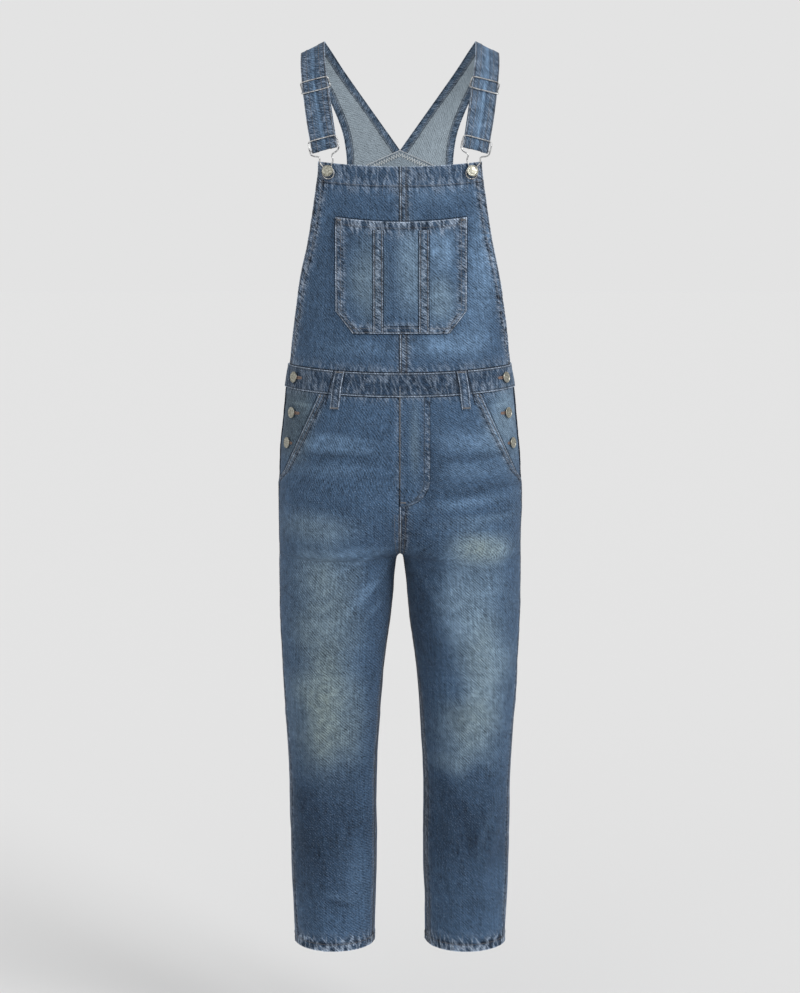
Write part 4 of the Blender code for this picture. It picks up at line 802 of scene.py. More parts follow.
class Cloth:
    """A cut piece. place(u, v) gives its angle and height on the skin, and stands(u, v) a further lift.

    over(x, z) says how far a place is outside a piece that is sewn on top, along whose outline a shadow line
    is painted.
    """

    top, thick, side, under, stands, over = 0.0, DENIM, 1, 0.0, None, None

    def __init__(self, name, place, grid, finishes, **options):
        self.name, self.place, self.finishes = name, place, finishes
        self.columns, self.rows = (np.array(lines, float) for lines in grid)
        vars(self).update(options)
        points = self.base(*np.meshgrid(self.columns, self.rows))[0]
        steps = np.linalg.norm(np.diff(points, axis=1), axis=-1)
        drops = np.linalg.norm(np.diff(points, axis=0), axis=-1)
        self.across = np.concatenate([np.zeros((len(self.rows), 1)), np.cumsum(steps, 1)], 1)
        self.down = np.concatenate([np.zeros((1, len(self.columns))), np.cumsum(drops, 0)], 0)
        self.area = float(np.sum((steps[:-1] + steps[1:]) / 2 * (drops[:, :-1] + drops[:, 1:]) / 2))

    def base(self, u, v):
        """Places on the skin, and the directions out."""
        return skin(*self.place(u, v), 0.0, self.side)

    def measure(self, u, v):
        """How far places lie from the four edges, in metres."""

        def cell(lines, x):
            k = np.clip(np.searchsorted(lines, x, side="right") - 1, 0, len(lines) - 2)
            return k, (x - lines[k]) / (lines[k + 1] - lines[k])

        (i, s), (j, t) = cell(self.columns, u), cell(self.rows, v)

        def value(table):
            upper, lower = (blend(table[k, i], table[k, i + 1], s) for k in (j, j + 1))
            return blend(upper, lower, t)

        first, upper = value(self.across), value(self.down)
        width = blend(self.across[j, -1], self.across[j + 1, -1], t)
        height = blend(self.down[-1, i], self.down[-1, i + 1], s)
        return {"first": first, "last": width - first, "top": upper, "bottom": height - upper}

    def relief(self, u, v):
        """How sewing lifts the cloth: the rise of turned bands, and the puckers."""
        away = self.measure(u, v)
        lift, puckers, rub = (np.zeros(np.shape(u)) for _ in range(3))
        for f in self.finishes:
            d = away[f.edge]
            run = away["top"] if f.edge in ("first", "last") else away["first"]
            seed = f.seed + (40 if self.side < 0 else 0)
            if f.band:
                lift = np.maximum(lift, f.rise * ease((f.band + STEP - d) / STEP))
            fall = np.where(d < f.band, 1.0, bell((d - f.band) / f.reach))
            slant = run + f.lean * d
            ridge = BROAD * soft_noise(slant / f.wave, d / (BROAD_LONG * f.wave), seed)
            ridge += FINE * soft_noise(slant / (f.wave * FINE_WAVE), d / (FINE_LONG * f.wave), seed + 7)
            pinch = sum(bell((d - row) / PINCH_WIDE) for row in f.stitches)
            puckers += fall * f.rope * ridge * (1 - PINCH_FLAT * pinch) - PINCH * pinch
            rub += fall * f.wear * ridge
        return lift, puckers, rub

    def marks(self, u, v):
        """What sewing does to the colour, as two vectors.

        The first is the distance to a folded edge, how dark a band is, and the distance to a stitch line, a
        raised band's step or a plain edge, where a shade line is painted, in millimetres. A band's darkness
        is painted shade on the back legs' inseam and on the front belt loops. The second is how much level
        and upright edges crease the cloth, and the rub.
        """
        away = self.measure(u, v)
        zero = np.zeros(np.shape(u))
        edge, band, groove, level, upright = zero + FAR, zero, zero + FAR, zero, zero
        for f in self.finishes:
            d, wide, reach = (1000 * length for length in (away[f.edge], f.band, f.reach))
            edge = np.minimum(edge, d) if f.folded else edge
            lines = f.stitches + ((f.band + STEP / 2,) if f.rise else ()) + (() if f.folded else (0.0,))
            for line in lines:
                groove = np.minimum(groove, np.abs(d - line * 1000))
            band = np.maximum(band, f.shade * np.clip((wide - d) / (1000 * STEP) + 0.5, 0, 1) * (wide > 0))
            fall = f.wear * np.where(d < wide, 1.0, bell((d - wide) / reach))
            if f.edge in ("top", "bottom"):
                level = np.maximum(level, fall)
            else:
                upright = np.maximum(upright, fall)
        return np.stack([edge, band, groove], -1), np.stack([level, upright, self.relief(u, v)[2]], -1)

    def surface(self, u, v, inner=False):
        """Places on one face of the cloth, with the directions out."""
        points, normals = self.base(u, v)
        lift, puckers, _ = self.relief(u, v)
        height = self.top + lift + puckers
        if inner:
            height = self.top - self.thick + 0.5 * puckers - self.under * lift
        if self.stands:
            height = height + self.stands(u, v)
        return points + normals * height[..., None], normals

    def texture_place(self, u, v):
        """Places on the cut piece as it lay on the table, in metres, seen from outside."""
        away = self.measure(u, v)
        return np.stack([(away["first"] - away["last"]) / 2 * self.handed, -away["top"]], -1)

    def inner_slots(self, u, v):
        """The finish of the inner face: 1 is the wrong side, and 0 the right side, turned in."""
        return np.ones(np.shape(u), int)

    def washed(self, places, normals, corners, outside):
        """The faded, grey and dark shares, a few of them painted light and shade, on the outer face alone:
        the wrong side is hardly dyed, so it doesn't fade.
        """
        return wash(places, normals) * outside[:, None]

    def outlined(self, places, corners, outside):
        """How far places lie outside the piece that is sewn on top, in metres, for a painted shadow line."""
        return self.over(places[:, 0], places[:, 2]) if self.over else np.full(len(places), FAR / 1000)

    def near_edge(self, u, v):
        """Where the chart is cut finer."""
        away = self.measure(u, v)
        return np.any([away[f.edge] < f.band + FINE_REACH * f.reach for f in self.finishes], axis=0)

    def make(self, cuts, fine_inside):
        """Builds the wall as an object."""
        centre = np.array([np.mean(self.columns)]), np.array([np.mean(self.rows)])
        step_u, step_v = ((lines[-1] - lines[0]) * 0.01 for lines in (self.columns, self.rows))
        here, normal = self.base(*centre)
        right = self.base(centre[0] + step_u, centre[1])[0] - here
        below = self.base(centre[0], centre[1] + step_v)[0] - here
        self.handed = 1.0 if float(np.sum(np.cross(below, right) * normal)) > 0 else -1.0
        inside_near = self.near_edge if fine_inside else lambda u, v: np.zeros(np.shape(u), bool)
        outer_chart, outer_faces, outer_rim = chart(self.columns, self.rows, self.near_edge, cuts)
        inner_chart, inner_faces, inner_rim = chart(self.columns, self.rows, inside_near, cuts)
        outer, out = self.surface(*outer_chart.T)
        inner, inner_out = self.surface(*inner_chart.T, inner=True)
        rim = (outer[outer_rim] + inner[inner_rim]) / 2
        count, total, size = len(outer), len(outer) + len(inner), len(outer_rim)
        faces = outer_faces + [[count + k for k in reversed(f)] for f in inner_faces]
        middles = np.array([inner_chart[f].mean(axis=0) for f in inner_faces])
        slots = [0] * len(outer_faces) + self.inner_slots(*middles.T).tolist() + [0] * 2 * size
        for k in range(size):
            n = (k + 1) % size
            faces.append([outer_rim[n], outer_rim[k], total + k, total + n])
            faces.append([total + n, total + k, count + inner_rim[k], count + inner_rim[n]])
        if self.handed > 0:
            faces = [f[::-1] for f in faces]
        places = np.concatenate([outer, inner, rim])
        charted = np.concatenate([outer_chart, inner_chart, outer_chart[outer_rim]])
        outside = np.concatenate([np.ones(count), np.zeros(len(inner)), np.ones(size)])
        washed = self.washed(places, np.concatenate([out, inner_out, out[outer_rim]]), charted, outside)
        seam, pucker = self.marks(*charted.T)
        mesh = bpy.data.meshes.new(self.name)
        mesh.from_pydata(places.tolist(), [], faces)
        for finish in DENIM_SIDES:
            mesh.materials.append(finish)
        mesh.polygons.foreach_set("material_index", slots)
        corner = np.zeros(len(mesh.loops), np.int32)
        mesh.loops.foreach_get("vertex_index", corner)
        flat = self.texture_place(*charted.T)[corner]
        mesh.uv_layers.new(name="cloth").data.foreach_set("uv", flat.astype(np.float32).ravel())
        colour = mesh.color_attributes.new("wash", "FLOAT_COLOR", "POINT")
        keep(colour, "color", np.concatenate([washed, np.ones((len(places), 1))], 1))
        keep(mesh.attributes.new("seam", "FLOAT_VECTOR", "POINT"), "vector", seam)
        keep(mesh.attributes.new("pucker", "FLOAT_VECTOR", "POINT"), "vector", pucker)
        outline = 1000 * self.outlined(places, charted, outside)
        keep(mesh.attributes.new("outline", "FLOAT", "POINT"), "value", outline)
        mesh.shade_smooth()
        mesh.set_sharp_from_angle(angle=math.radians(60))
        mesh.update()
        self.piece = show(bpy.data.objects.new(self.name, mesh))


def keep(attribute, kind, values):
    """Writes values into an attribute of a mesh."""
    attribute.data.foreach_set(kind, values.astype(np.float32).ravel())


def even(start, end, length, step):
    """Even values from start to end, for a length that is cut into steps."""
    return np.linspace(start, end, max(2, round(length / step) + 1))


def even_grid(wide, long, step, long_step=None):
    """Even columns and rows from 0 to 1."""
    return even(0, 1, wide, step), even(0, 1, long, long_step or step)


def cut(kind, word, place, grid, finishes, cuts=2, fine_inside=False, pattern=Cloth, **options):
    """Cuts a piece. It stands for the CAD node kind_word, and CLOTHS keeps it."""
    cloth = pattern("_".join(filter(None, (kind, "cloth", word))), place, grid, finishes, **options)
    cloth.kind = kind
    cloth.make(cuts, fine_inside)
    CLOTHS["_".join(filter(None, (kind, word)))] = cloth
    return cloth


print("cloth can be cut")

# %% [markdown]
# ## Legs
# A trouser leg is two panels, front and back, sewn at the inseam and the outseam. Above the crotch the two
# front panels meet at the centre seam, and the two back panels at the seat seam. A panel's rows are counted
# in levels: 0 at the waistband, 1 where the crotch's curve begins, 2 at the crotch and 3 at the hem. Where
# a piece is sewn on top, a shadow is painted along its outline, so a few functions say how far a place is
# outside the pieces above it.

# %% Where the leg panels run
SIDES = ((-1, "left"), (1, "right"))
SLANT_TOP_X, SLANT_BOTTOM_X, SLANT_BOTTOM = 0.1205, 0.1870, -0.672
SLANT_CURVE, SLANT_END, OPENING_END = -0.648, -0.690, 0.030
BEARER_UNDERLAP, BEARER_BOTTOM, BEHIND_GAP = 0.016, -0.702, 0.0016
STAND_GAP, STAND_BOTTOM, STAND_FRONT, STAND_BACK = 0.0010, -0.710, -20.0, 16.0
CURVE_TOP = -0.700
LEG_STEP, FRONT_WIDE, BACK_WIDE = 0.0054, 0.250, 0.300
FLY_WIDE, FLY_BOTTOM, FLY_STRAIGHT, FLY_TIP = 0.0455, -0.6975, 0.72, 0.004
FLY_TOP = WAIST_BOTTOM - WAIST_DIP - SEAM_GAP
FLY_END = 0.004  # how far above the crotch the painted shadow of the centre seam ends
LOOP_WIDE, LOOP_THICK, LOOP_STANDS_OFF = 0.013, 0.0018, 0.0030
LOOP_TOP_LAP, LOOP_BOTTOM_LAP, LOOP_BEND, LOOP_SHADOW = 0.001, 0.023, 0.76, 0.6
LoopPlace = namedtuple("LoopPlace", "name face top_x bottom_x shade")
# The last number darkens a loop's band: 0.95 on the left front loop is painted shade on the side away from
# the lamp, 0.15 on the right front loop leaves it lit, and the back loops take 0.55.
LOOPS = [
    LoopPlace("front_left", "front", -0.0900, -0.0990, 0.95),
    LoopPlace("front_right", "front", 0.0915, 0.1000, 0.15),
    LoopPlace("back_left", "back", -0.1050, -0.1080, 0.55),
    LoopPlace("back_centre", "back", 0.0, 0.0, 0.55),
    LoopPlace("back_right", "back", 0.1050, 0.1080, 0.55),
]


def inseam_angle(z, face):
    """A leg panel's inner edge: at the centre plane above the crotch, and at the inseam below it."""
    low = columns_at(SEAM_TURNS, z)[0] + (-180.0 if face == "front" else 180.0)
    return np.where(z > CROTCH_LEVEL, angle_at(SEAM_GAP / 2, z, face), low)


def slant_x(z):
    """The slant pocket's edge, from the waistband down to the side."""
    return blend(SLANT_TOP_X, SLANT_BOTTOM_X, (WAIST_BOTTOM - z) / (WAIST_BOTTOM - SLANT_BOTTOM))


def front_outer_angle(z):
    """The outer edge of the front leg panel: the slant pocket's edge, which curves into the outseam."""
    slant = angle_at(slant_x(np.maximum(z, SLANT_BOTTOM)), z)
    return blend(slant, -columns_at(SEAM_TURNS, z)[1], ease((SLANT_CURVE - z) / (SLANT_CURVE - SLANT_END)))


def back_outer_angle(z):
    """The outer edge of the back leg panel: behind the side opening, and below it the outseam."""
    return blend(-columns_at(SEAM_TURNS, z)[1], OPENING_ANGLE, ease((z - SLANT_END) / OPENING_END))


def leg_height(level, x, face):
    """The height of a leg panel's row, from its level."""
    top = waist_line(WAIST_BOTTOM, x, face) - SEAM_GAP
    curve = blend(CURVE_TOP, CROTCH_LEVEL, np.sin((np.clip(level, 1, 2) - 1) * np.pi / 2))
    low = blend(CROTCH_LEVEL, HEM_LEVEL, level - 2)
    return np.where(level <= 1, blend(top, CURVE_TOP, level), np.where(level <= 2, curve, low))


def fly_width(z):
    """How far the fly reaches from the centre plane."""
    v = (z - FLY_TOP) / (FLY_BOTTOM - FLY_TOP)
    sink = np.clip((v - FLY_STRAIGHT) / (1 - FLY_STRAIGHT), 0.0, 1.0)
    return FLY_WIDE * np.sqrt(1 - sink**2) + FLY_TIP * sink


def beside_loops(x, z, face="front"):
    """How far places lie beside the nearest belt loop, made shorter so that the shadow painted beside it is
    wide.
    """
    share = (WAIST_TOP - z) / BAND_HIGH
    middles = [blend(loop.top_x, loop.bottom_x, share) for loop in LOOPS if loop.face == face]
    beside = np.min([np.abs(x - middle) for middle in middles], axis=0) - LOOP_WIDE / 2
    return np.where(z > WAIST_BOTTOM - LOOP_BOTTOM_LAP, beside * LOOP_SHADOW, 1.0)


def below_waistband(x, z, face="front"):
    """How far places lie below the waistband."""
    return waist_line(WAIST_BOTTOM, x, face) - z


def above_waistband(x, z, face="front"):
    """How far places lie above it."""
    return z - waist_line(WAIST_TOP, x, face)


def beside_slant(x, z):
    """How far places of the bearer lie outside the slant pocket's edge."""
    return np.where(z > SLANT_BOTTOM, np.abs(x) - slant_x(z), 1.0)


def over_front_legs(x, z):
    """How far places lie outside the right front's edge at the centre, the waistband and the loops."""
    centre = np.where((z > CROTCH_LEVEL + FLY_END) & (x < 0), -x, 1.0)
    return np.minimum.reduce([centre, below_waistband(x, z), beside_loops(x, z)])


def over_back_legs(x, z):
    """The same on the back."""
    return np.minimum(below_waistband(x, z, "back"), beside_loops(x, z, "back"))


def leg_place(face):
    """Where the places of a leg panel lie: the front runs from the inside out, and the back the other way."""

    def place(u, level):
        flat, middle = leg_height(level, WAIST_HALF_WIDTH, face), leg_height(level, 0.0, face)
        gap = np.where(level >= 2, SEAM_GAP / 2, 0.0)
        if face == "front":
            first, last = inseam_angle(middle, face), front_outer_angle(flat)
            first = first + degrees_of(gap, first, flat)
            last = last - degrees_of(SEAM_GAP / 2, last, flat)
        else:
            first, last = back_outer_angle(flat), inseam_angle(middle, face)
            first = first + degrees_of(SEAM_GAP / 2, first, flat)
            last = last - degrees_of(gap, last, flat)
        angle = blend(first, last, u)
        return angle, leg_height(level, ring(angle, flat)[..., 0], face)

    return place


LEG_ROWS = np.concatenate([
    even(0, 1, WAIST_BOTTOM - CURVE_TOP, LEG_STEP)[:-1],
    np.linspace(1, 2, 15)[:-1],
    even(2, 3, CROTCH_LEVEL - HEM_LEVEL, LEG_STEP),
])
for side, word in SIDES:
    centre = seam("first", 101, rope=0.0002, reach=0.006)
    if side > 0:
        centre = felled("first", 101, 0.0095, 0.0003, 0.00028, (0.0020, 0.0080), 0.6, 0.35)
    front_finishes = [
        centre,
        felled("last", 102, rows=(0.0020, 0.0085), wear=0.65, shade=0.1),
        seam("top", 103),
        hem("bottom", HEM_DEPTH, 104, wave=0.0052, shade=0.6, wear=1.0),
    ]
    back_finishes = [
        seam("first", 105, rope=0.00025),
        # This band along the inseam and the seat seam is painted dark, 0.60, as the shadow inside the legs.
        Finish("last", False, 0.0095, 0.60, 0.0003, 0.00028, 0.0070, 0.5, 0.005, 0.3, (0.0020, 0.0080), 106),
        seam("top", 107),
        hem("bottom", HEM_DEPTH, 108, wave=0.0052, shade=0.6, wear=1.0),
    ]
    grid = even(0, 1, FRONT_WIDE, LEG_STEP), LEG_ROWS
    front = cut("front_leg", word, leg_place("front"), grid, front_finishes, side=side, over=over_front_legs)
    grid = even(0, 1, BACK_WIDE, LEG_STEP), LEG_ROWS
    back = cut("back_leg", word, leg_place("back"), grid, back_finishes, side=side, over=over_back_legs)
    print(word, "leg: hem", round(front.across[-1, -1] + back.across[-1, -1], 3), "m round")

# %% [markdown]
# Behind each slant pocket lies the pocket bearer, which also carries the side opening's buttonholes, and
# behind that the button stand.

# %% Behind the slant pockets


def bearer_place(u, v):
    """Where the pocket bearer lies: from under the slant pocket's edge to the side opening."""
    z = blend(WAIST_BOTTOM - SEAM_GAP, BEARER_BOTTOM, v)
    first = angle_at(np.minimum(slant_x(z), SLANT_BOTTOM_X) - BEARER_UNDERLAP, z)
    last = back_outer_angle(z)
    angle = blend(first, last - degrees_of(SEAM_GAP / 2, last, z), u)
    return angle, blend(waist_height(WAIST_BOTTOM, angle, "front") - SEAM_GAP, BEARER_BOTTOM, v)


def stand_place(u, v):
    """Where the button stand lies, round the side."""
    return blend(STAND_FRONT, STAND_BACK, u), blend(WAIST_TOP - STAND_GAP, STAND_BOTTOM, v)


for side, word in SIDES:
    finishes = [felled("last", 111, band=0.009, rise=0.0004, rows=(0.0020,)), seam("top", 112)]
    depth = -DENIM - BEHIND_GAP
    grid = even_grid(0.090, 0.170, 0.004)
    cut("pocket_bearer", word, bearer_place, grid, finishes, 1, top=depth, side=side, over=beside_slant)
    depth = -2 * DENIM - BEHIND_GAP - STAND_GAP
    grid = even_grid(0.080, 0.220, 0.008)
    cut("button_stand", word, stand_place, grid, [seam("last", 113)], 1, top=depth, side=side)
print("bearers and stands cut")

# %% [markdown]
# ## Waistband, bib and back
# The waistband is a doubled strip, topstitched along both edges. The bib is cut in two halves that meet in
# a felled seam, with a deep turned hem along the top and narrow ones down the sides. The back panel rises
# to a point between the straps.

# %% Waistband
centre_angle = float(angle_at(SEAM_GAP / 2, WAIST_TOP))
opening_angle = OPENING_ANGLE - float(degrees_of(SEAM_GAP, OPENING_ANGLE, WAIST_TOP))


def waistband(kind, word, start, end, face, length, side, seed):
    """A strip round the waist, from one angle to another."""

    def place(u, v):
        angle = blend(start, end, u)
        return angle, blend(waist_height(WAIST_TOP, angle, face), waist_height(WAIST_BOTTOM, angle, face), v)

    half, sewn = BAND_HIGH / 2, (0.004, 0.45, (0.0022,))
    finishes = [
        Finish("top", True, half, 0.50, 0.0, 0.00036, 0.0085, 0.7, *sewn, seed),
        Finish("bottom", True, half, 0.50, 0.0, 0.00036, 0.0085, -0.6, *sewn, seed + 1),
        seam("last", seed + 2, rows=(0.0025,), reach=0.005),
    ]
    cut(
        kind, word, place, even_grid(length, BAND_HIGH, 0.0024, 0.0022), finishes, 0,
        top=WAISTBAND_PROUD, thick=WAISTBAND, side=side, over=lambda x, z: beside_loops(x, z, face),
    )


for side, word in SIDES:
    waistband("waistband_front", word, centre_angle, opening_angle, "front", 0.265, side, 121)
waistband("waistband_back", "", OPENING_ANGLE, 180.0 - OPENING_ANGLE, "back", 0.480, 1, 131)
print("waistband cut")

# %% Bib and back panel
BIB_TOP, BIB_TOP_DIP, BIB_TOP_HALF, BIB_HEM_DEPTH = -0.1811, 0.0078, 0.122, 0.0300
BACK_PEAK, BACK_SLOPE, BACK_CORNER = -0.1598, 0.450, 0.037
POCKET_TOP, POCKET_BOTTOM, POCKET_DIP = -0.2632, -0.4360, 0.0070
POCKET_HALF, POCKET_CENTRE, POCKET_HEM, POCKET_SIDE = 0.0970, 0.0015, 0.011, 0.0098
POCKET_HIGH, POCKET_SPREAD = POCKET_TOP - POCKET_BOTTOM, 0.0005
CORNER_HIGH, CORNER_WIDE = 0.033, 0.025


def outside_pocket(x, z):
    """How far places of the bib lie outside its pocket, and on the left outside the folded centre edge."""
    sideways = np.abs(x - POCKET_CENTRE)
    top = z - POCKET_TOP + POCKET_DIP * np.maximum(0.0, 1 - (sideways / POCKET_HALF) ** 2)
    low = POCKET_BOTTOM - z
    corner = CORNER_HIGH * (sideways - POCKET_HALF + CORNER_WIDE) + CORNER_WIDE * low
    corner = corner / math.hypot(CORNER_HIGH, CORNER_WIDE)
    around = np.maximum.reduce([sideways - POCKET_HALF - POCKET_SPREAD, top, low, corner])
    around = np.where((x < 0) & (around > 0), np.minimum(around, -x), around)
    return np.minimum(around, above_waistband(x, z))


def bib_place(u, v):
    """Where one half of the bib lies, from its centre seam to its side."""
    half = columns_at(BIB_EDGE, blend(BIB_TOP, WAIST_TOP, v))[0]
    x = blend(SEAM_GAP / 2, half, u)
    top = BIB_TOP - BIB_TOP_DIP * (1 - (x / BIB_TOP_HALF) ** 2)
    z = blend(top, waist_line(WAIST_TOP, x, "front") + SEAM_GAP, v)
    return angle_at(x, z), z


def back_place(u, v):
    """Where the back panel lies, from side to side."""
    x = columns_at(BACK_EDGE, blend(BACK_PEAK - BACK_CORNER, WAIST_TOP + WAIST_RISE, v))[0] * u
    bottom = waist_line(WAIST_TOP, x, "back") + SEAM_GAP
    z = blend(BACK_PEAK - SEAM_GAP - BACK_SLOPE * np.abs(x), bottom, v)
    return angle_at(x, z, "back"), z


for side, word in SIDES:
    bib_finishes = [
        felled("first", 141) if side > 0 else seam("first", 142, rope=0.0002, reach=0.006),
        felled("last", 143, rows=(0.0020,), wear=1.0, rope=0.00045),
        Finish("top", True, BIB_HEM_DEPTH, 0.22, HEM_RISE, 0.00060, 0.0085, 0.12, 0.009, 0.55, (), 144),
        seam("bottom", 145, reach=0.011, rope=0.00038),
    ]
    cut("bib", word, bib_place, even_grid(0.150, 0.305, 0.005), bib_finishes, side=side, over=outside_pocket)
back_finishes = [
    felled("first", 151, rows=(0.0020, 0.0095)),
    felled("last", 152, rows=(0.0020, 0.0095)),
    Finish("top", True, 0.0, 0.0, 0.0, 0.00030, 0.0080, 0.3, 0.009, 0.5, (0.0028, 0.0100), 153),
    seam("bottom", 154),
]
back_panel = cut(
    "back_panel", "", back_place, (even(-1, 1, 0.300, 0.006), even(0, 1, 0.330, 0.006)), back_finishes,
    fine_inside=True, over=lambda x, z: above_waistband(x, z, "back"),
)
print("bib and back panel cut")

# %% [markdown]
# ## What is sewn on
# The bib pocket is a patch with a turned mouth and cut-off lower corners, parted by two narrow strips. The
# fly is a J-shaped facing. Five belt loops bridge the waistband: each lies close at both ends and stands
# off between.

# %% Bib pocket and its strips
DIVIDER_X, DIVIDER_WIDE, DIVIDER_IN, THIN_DENIM = 0.0340, 0.0135, 0.002, 0.0010
POCKET_PROUD = HEM_RISE + LAYER_GAP + DENIM
POCKET_STEP = 0.0027


def pocket_half(z):
    """Half the bib pocket's width, less where its lower corners are cut off."""
    return POCKET_HALF - CORNER_WIDE * np.maximum(0.0, POCKET_BOTTOM + CORNER_HIGH - z) / CORNER_HIGH


def pocket_place(u, v):
    """Where the bib pocket lies. Its mouth dips in the middle."""
    flat = blend(POCKET_TOP, POCKET_BOTTOM, v)
    x = POCKET_CENTRE + pocket_half(flat) * (2 * u - 1)
    z = flat - POCKET_DIP * (1 - (2 * u - 1) ** 2) * (1 - v)
    return angle_at(x, z), z


def beside_strips(x, z):
    """How far places of the pocket lie beside its two strips."""
    away = np.abs(np.abs(x - POCKET_CENTRE) - DIVIDER_X) - DIVIDER_WIDE / 2
    return np.where(z < POCKET_TOP - POCKET_HEM - POCKET_DIP, away, 1.0)


def divider_place(sign):
    """Where one of the pocket's two strips lies."""

    def place(u, v):
        x = POCKET_CENTRE + sign * DIVIDER_X + DIVIDER_WIDE * (u - 0.5)
        dip = POCKET_DIP * (1 - ((x - POCKET_CENTRE) / POCKET_HALF) ** 2) * (1 - v)
        z = blend(POCKET_TOP - POCKET_HEM - DIVIDER_IN, POCKET_BOTTOM + DIVIDER_IN, v) - dip
        return angle_at(x, z), z

    return place


def both(seed, **options):
    """The same felled finish on both long edges."""
    return [felled(edge, seed + k, **options) for k, edge in enumerate(("first", "last"))]


pocket_finishes = both(161, band=POCKET_SIDE, rows=(0.0020,), wear=0.9) + [
    hem("top", POCKET_HEM, 163, row=0.0092, rope=0.00045, lean=0.4, wave=0.0075, wear=0.95, shade=0.6),
    felled("bottom", 164, band=POCKET_SIDE, rows=(0.0020,), wear=0.9),
]
pocket_rows = np.union1d(even(0, 1, POCKET_HIGH, POCKET_STEP), [1 - CORNER_HIGH / POCKET_HIGH])
pocket_grid = even(0, 1, 2 * POCKET_HALF, POCKET_STEP), pocket_rows
pocket = cut(
    "bib_pocket", "", pocket_place, pocket_grid, pocket_finishes, 0, top=POCKET_PROUD, over=beside_strips
)
for sign, word in SIDES:
    finishes = both(165, band=DIVIDER_WIDE / 2, rise=0.0, rope=0.00025, rows=(0.0017,), wear=0.9)
    grid = even_grid(DIVIDER_WIDE, 0.155, 0.0014, 0.0020)
    top = POCKET_PROUD + LAYER_GAP + THIN_DENIM
    cut("pocket_divider", word, divider_place(sign), grid, finishes, 0, top=top, thick=THIN_DENIM)
print("pocket cut,", round(pocket.area * 1e4), "square centimetres")

# %% Fly and belt loops


def fly_place(u, v):
    """Where the fly lies, from the centre seam to its J."""
    z = blend(FLY_TOP, FLY_BOTTOM, v)
    return angle_at(blend(SEAM_GAP / 2, fly_width(z), u), z), z


fly_bend = blend(FLY_STRAIGHT, 1.0, np.sin(np.linspace(0, 1, 22)[1:] * np.pi / 2))
fly_rows = np.concatenate([even(0, FLY_STRAIGHT, 0.110, 0.0022), fly_bend])
fly_finishes = [
    seam("last", 171, rope=0.00036, rows=(0.0092,), wear=0.9, wave=0.0070, lean=0.5),
    seam("first", 172, rope=0.0002, reach=0.005, wear=0.3, wave=0.0070, lean=0.5),
    seam("top", 173),
]
fly_grid = even(0, 1, FLY_WIDE, 0.0018), fly_rows
fly = cut("fly", "", fly_place, fly_grid, fly_finishes, 0, top=LAYER_GAP + THIN_DENIM, thick=THIN_DENIM)


def belt_loop(loop):
    """A loop that bridges the waistband."""
    top = float(waist_line(WAIST_TOP, loop.top_x, loop.face)) + LOOP_TOP_LAP
    bottom = float(waist_line(WAIST_BOTTOM, loop.bottom_x, loop.face)) - LOOP_BOTTOM_LAP

    def place(u, v):
        z = blend(top, bottom, v)
        x = blend(loop.top_x, loop.bottom_x, v) + LOOP_WIDE * (u - 0.5)
        return angle_at(x, z, loop.face), z

    def stands(u, v):
        below = np.maximum(0.0, v - LOOP_BEND) / (1 - LOOP_BEND)
        arch = np.sin(np.pi * np.minimum(1.0, v / LOOP_BEND))
        return blend(WAISTBAND_PROUD, 0.0, below) + LOOP_STANDS_OFF * arch

    # loop.shade darkens the loop's band, as painted shade on the left front loop.
    sewn = dict(rope=0.0002, rows=(0.0021,), shade=loop.shade, wear=0.45)
    finishes = both(181, band=LOOP_WIDE / 2, rise=0.0, **sewn)
    grid = even_grid(LOOP_WIDE, top - bottom, 0.0013, 0.0018)
    proud = LAYER_GAP + LOOP_THICK
    cut("belt_loop", loop.name, place, grid, finishes, 0, top=proud, thick=LOOP_THICK, stands=stands)


for loop in LOOPS:
    belt_loop(loop)
print("fly and", len(LOOPS), "belt loops cut")

# %% [markdown]
# ## Straps
# A strap is a band with both long edges turned under and sewn down. It starts wide on the back panel's
# sloping edge, narrows over the shoulder, runs down in front, turns round the buckle's bar, climbs behind
# itself and ends round the slider's middle bar. Its path is a smooth line through the rows of the STRAP
# table. The turned hems show the dark outside of the denim on its inside too.

# %% The strap's path
STRAP_THICK, STRAP_WIDE, STRAP_HEM, WIRE = 0.0020, 0.0385, 0.0105, 0.0011
STRAP_ROWS = (0.0014, 0.0092)  # stitch rows, from each long edge
STRAP_END = 0.006  # how far the sewn end reaches past the slider's bar, twice
TURN = WIRE + SEAM_GAP + STRAP_THICK / 2  # radius of the strap's middle where it turns round a bar
HEM_SHARE = 0.25  # the part of the chart's width that each turned hem takes up
Frame = namedtuple("Frame", "centre across down out")


def through(points, steps):
    """A smooth line through points, with steps pieces between each two."""
    p = np.asarray(points, float)
    before, start, end = np.concatenate([p[:1], p[:-2]]), p[:-1], p[1:]
    after = np.concatenate([p[2:], p[-1:]])
    t = (np.arange(steps) / steps)[None, :, None]
    before, start, end, after = (x[:, None, :] for x in (before, start, end, after))
    line = 2 * start + (end - before) * t + (2 * before - 5 * start + 4 * end - after) * t**2
    line = 0.5 * (line + (3 * start - before - 3 * end + after) * t**3)
    return np.concatenate([line.reshape(-1, 3), p[-1:]])


def strap_frame(station):
    """The strap's own directions at a row of STRAP: across to the outer edge, down the strap, and out."""
    here, above = np.array(STRAP[station]), np.array(STRAP[station - 1])
    centre, higher = (here[:3] + here[3:]) / 2, (above[:3] + above[3:]) / 2
    across, down = unit(here[3:] - here[:3]), unit(centre - higher)
    out = np.cross(across, down)
    out = unit(-out if out[1] > 0 else out)
    return Frame(centre, across, unit(down - across * float(down @ across)), out)


LOW, HIGH_FRAME = strap_frame(len(STRAP) - 1), strap_frame(SLIDER_STATION)
BUCKLE_BAR = LOW.centre - LOW.out * TURN


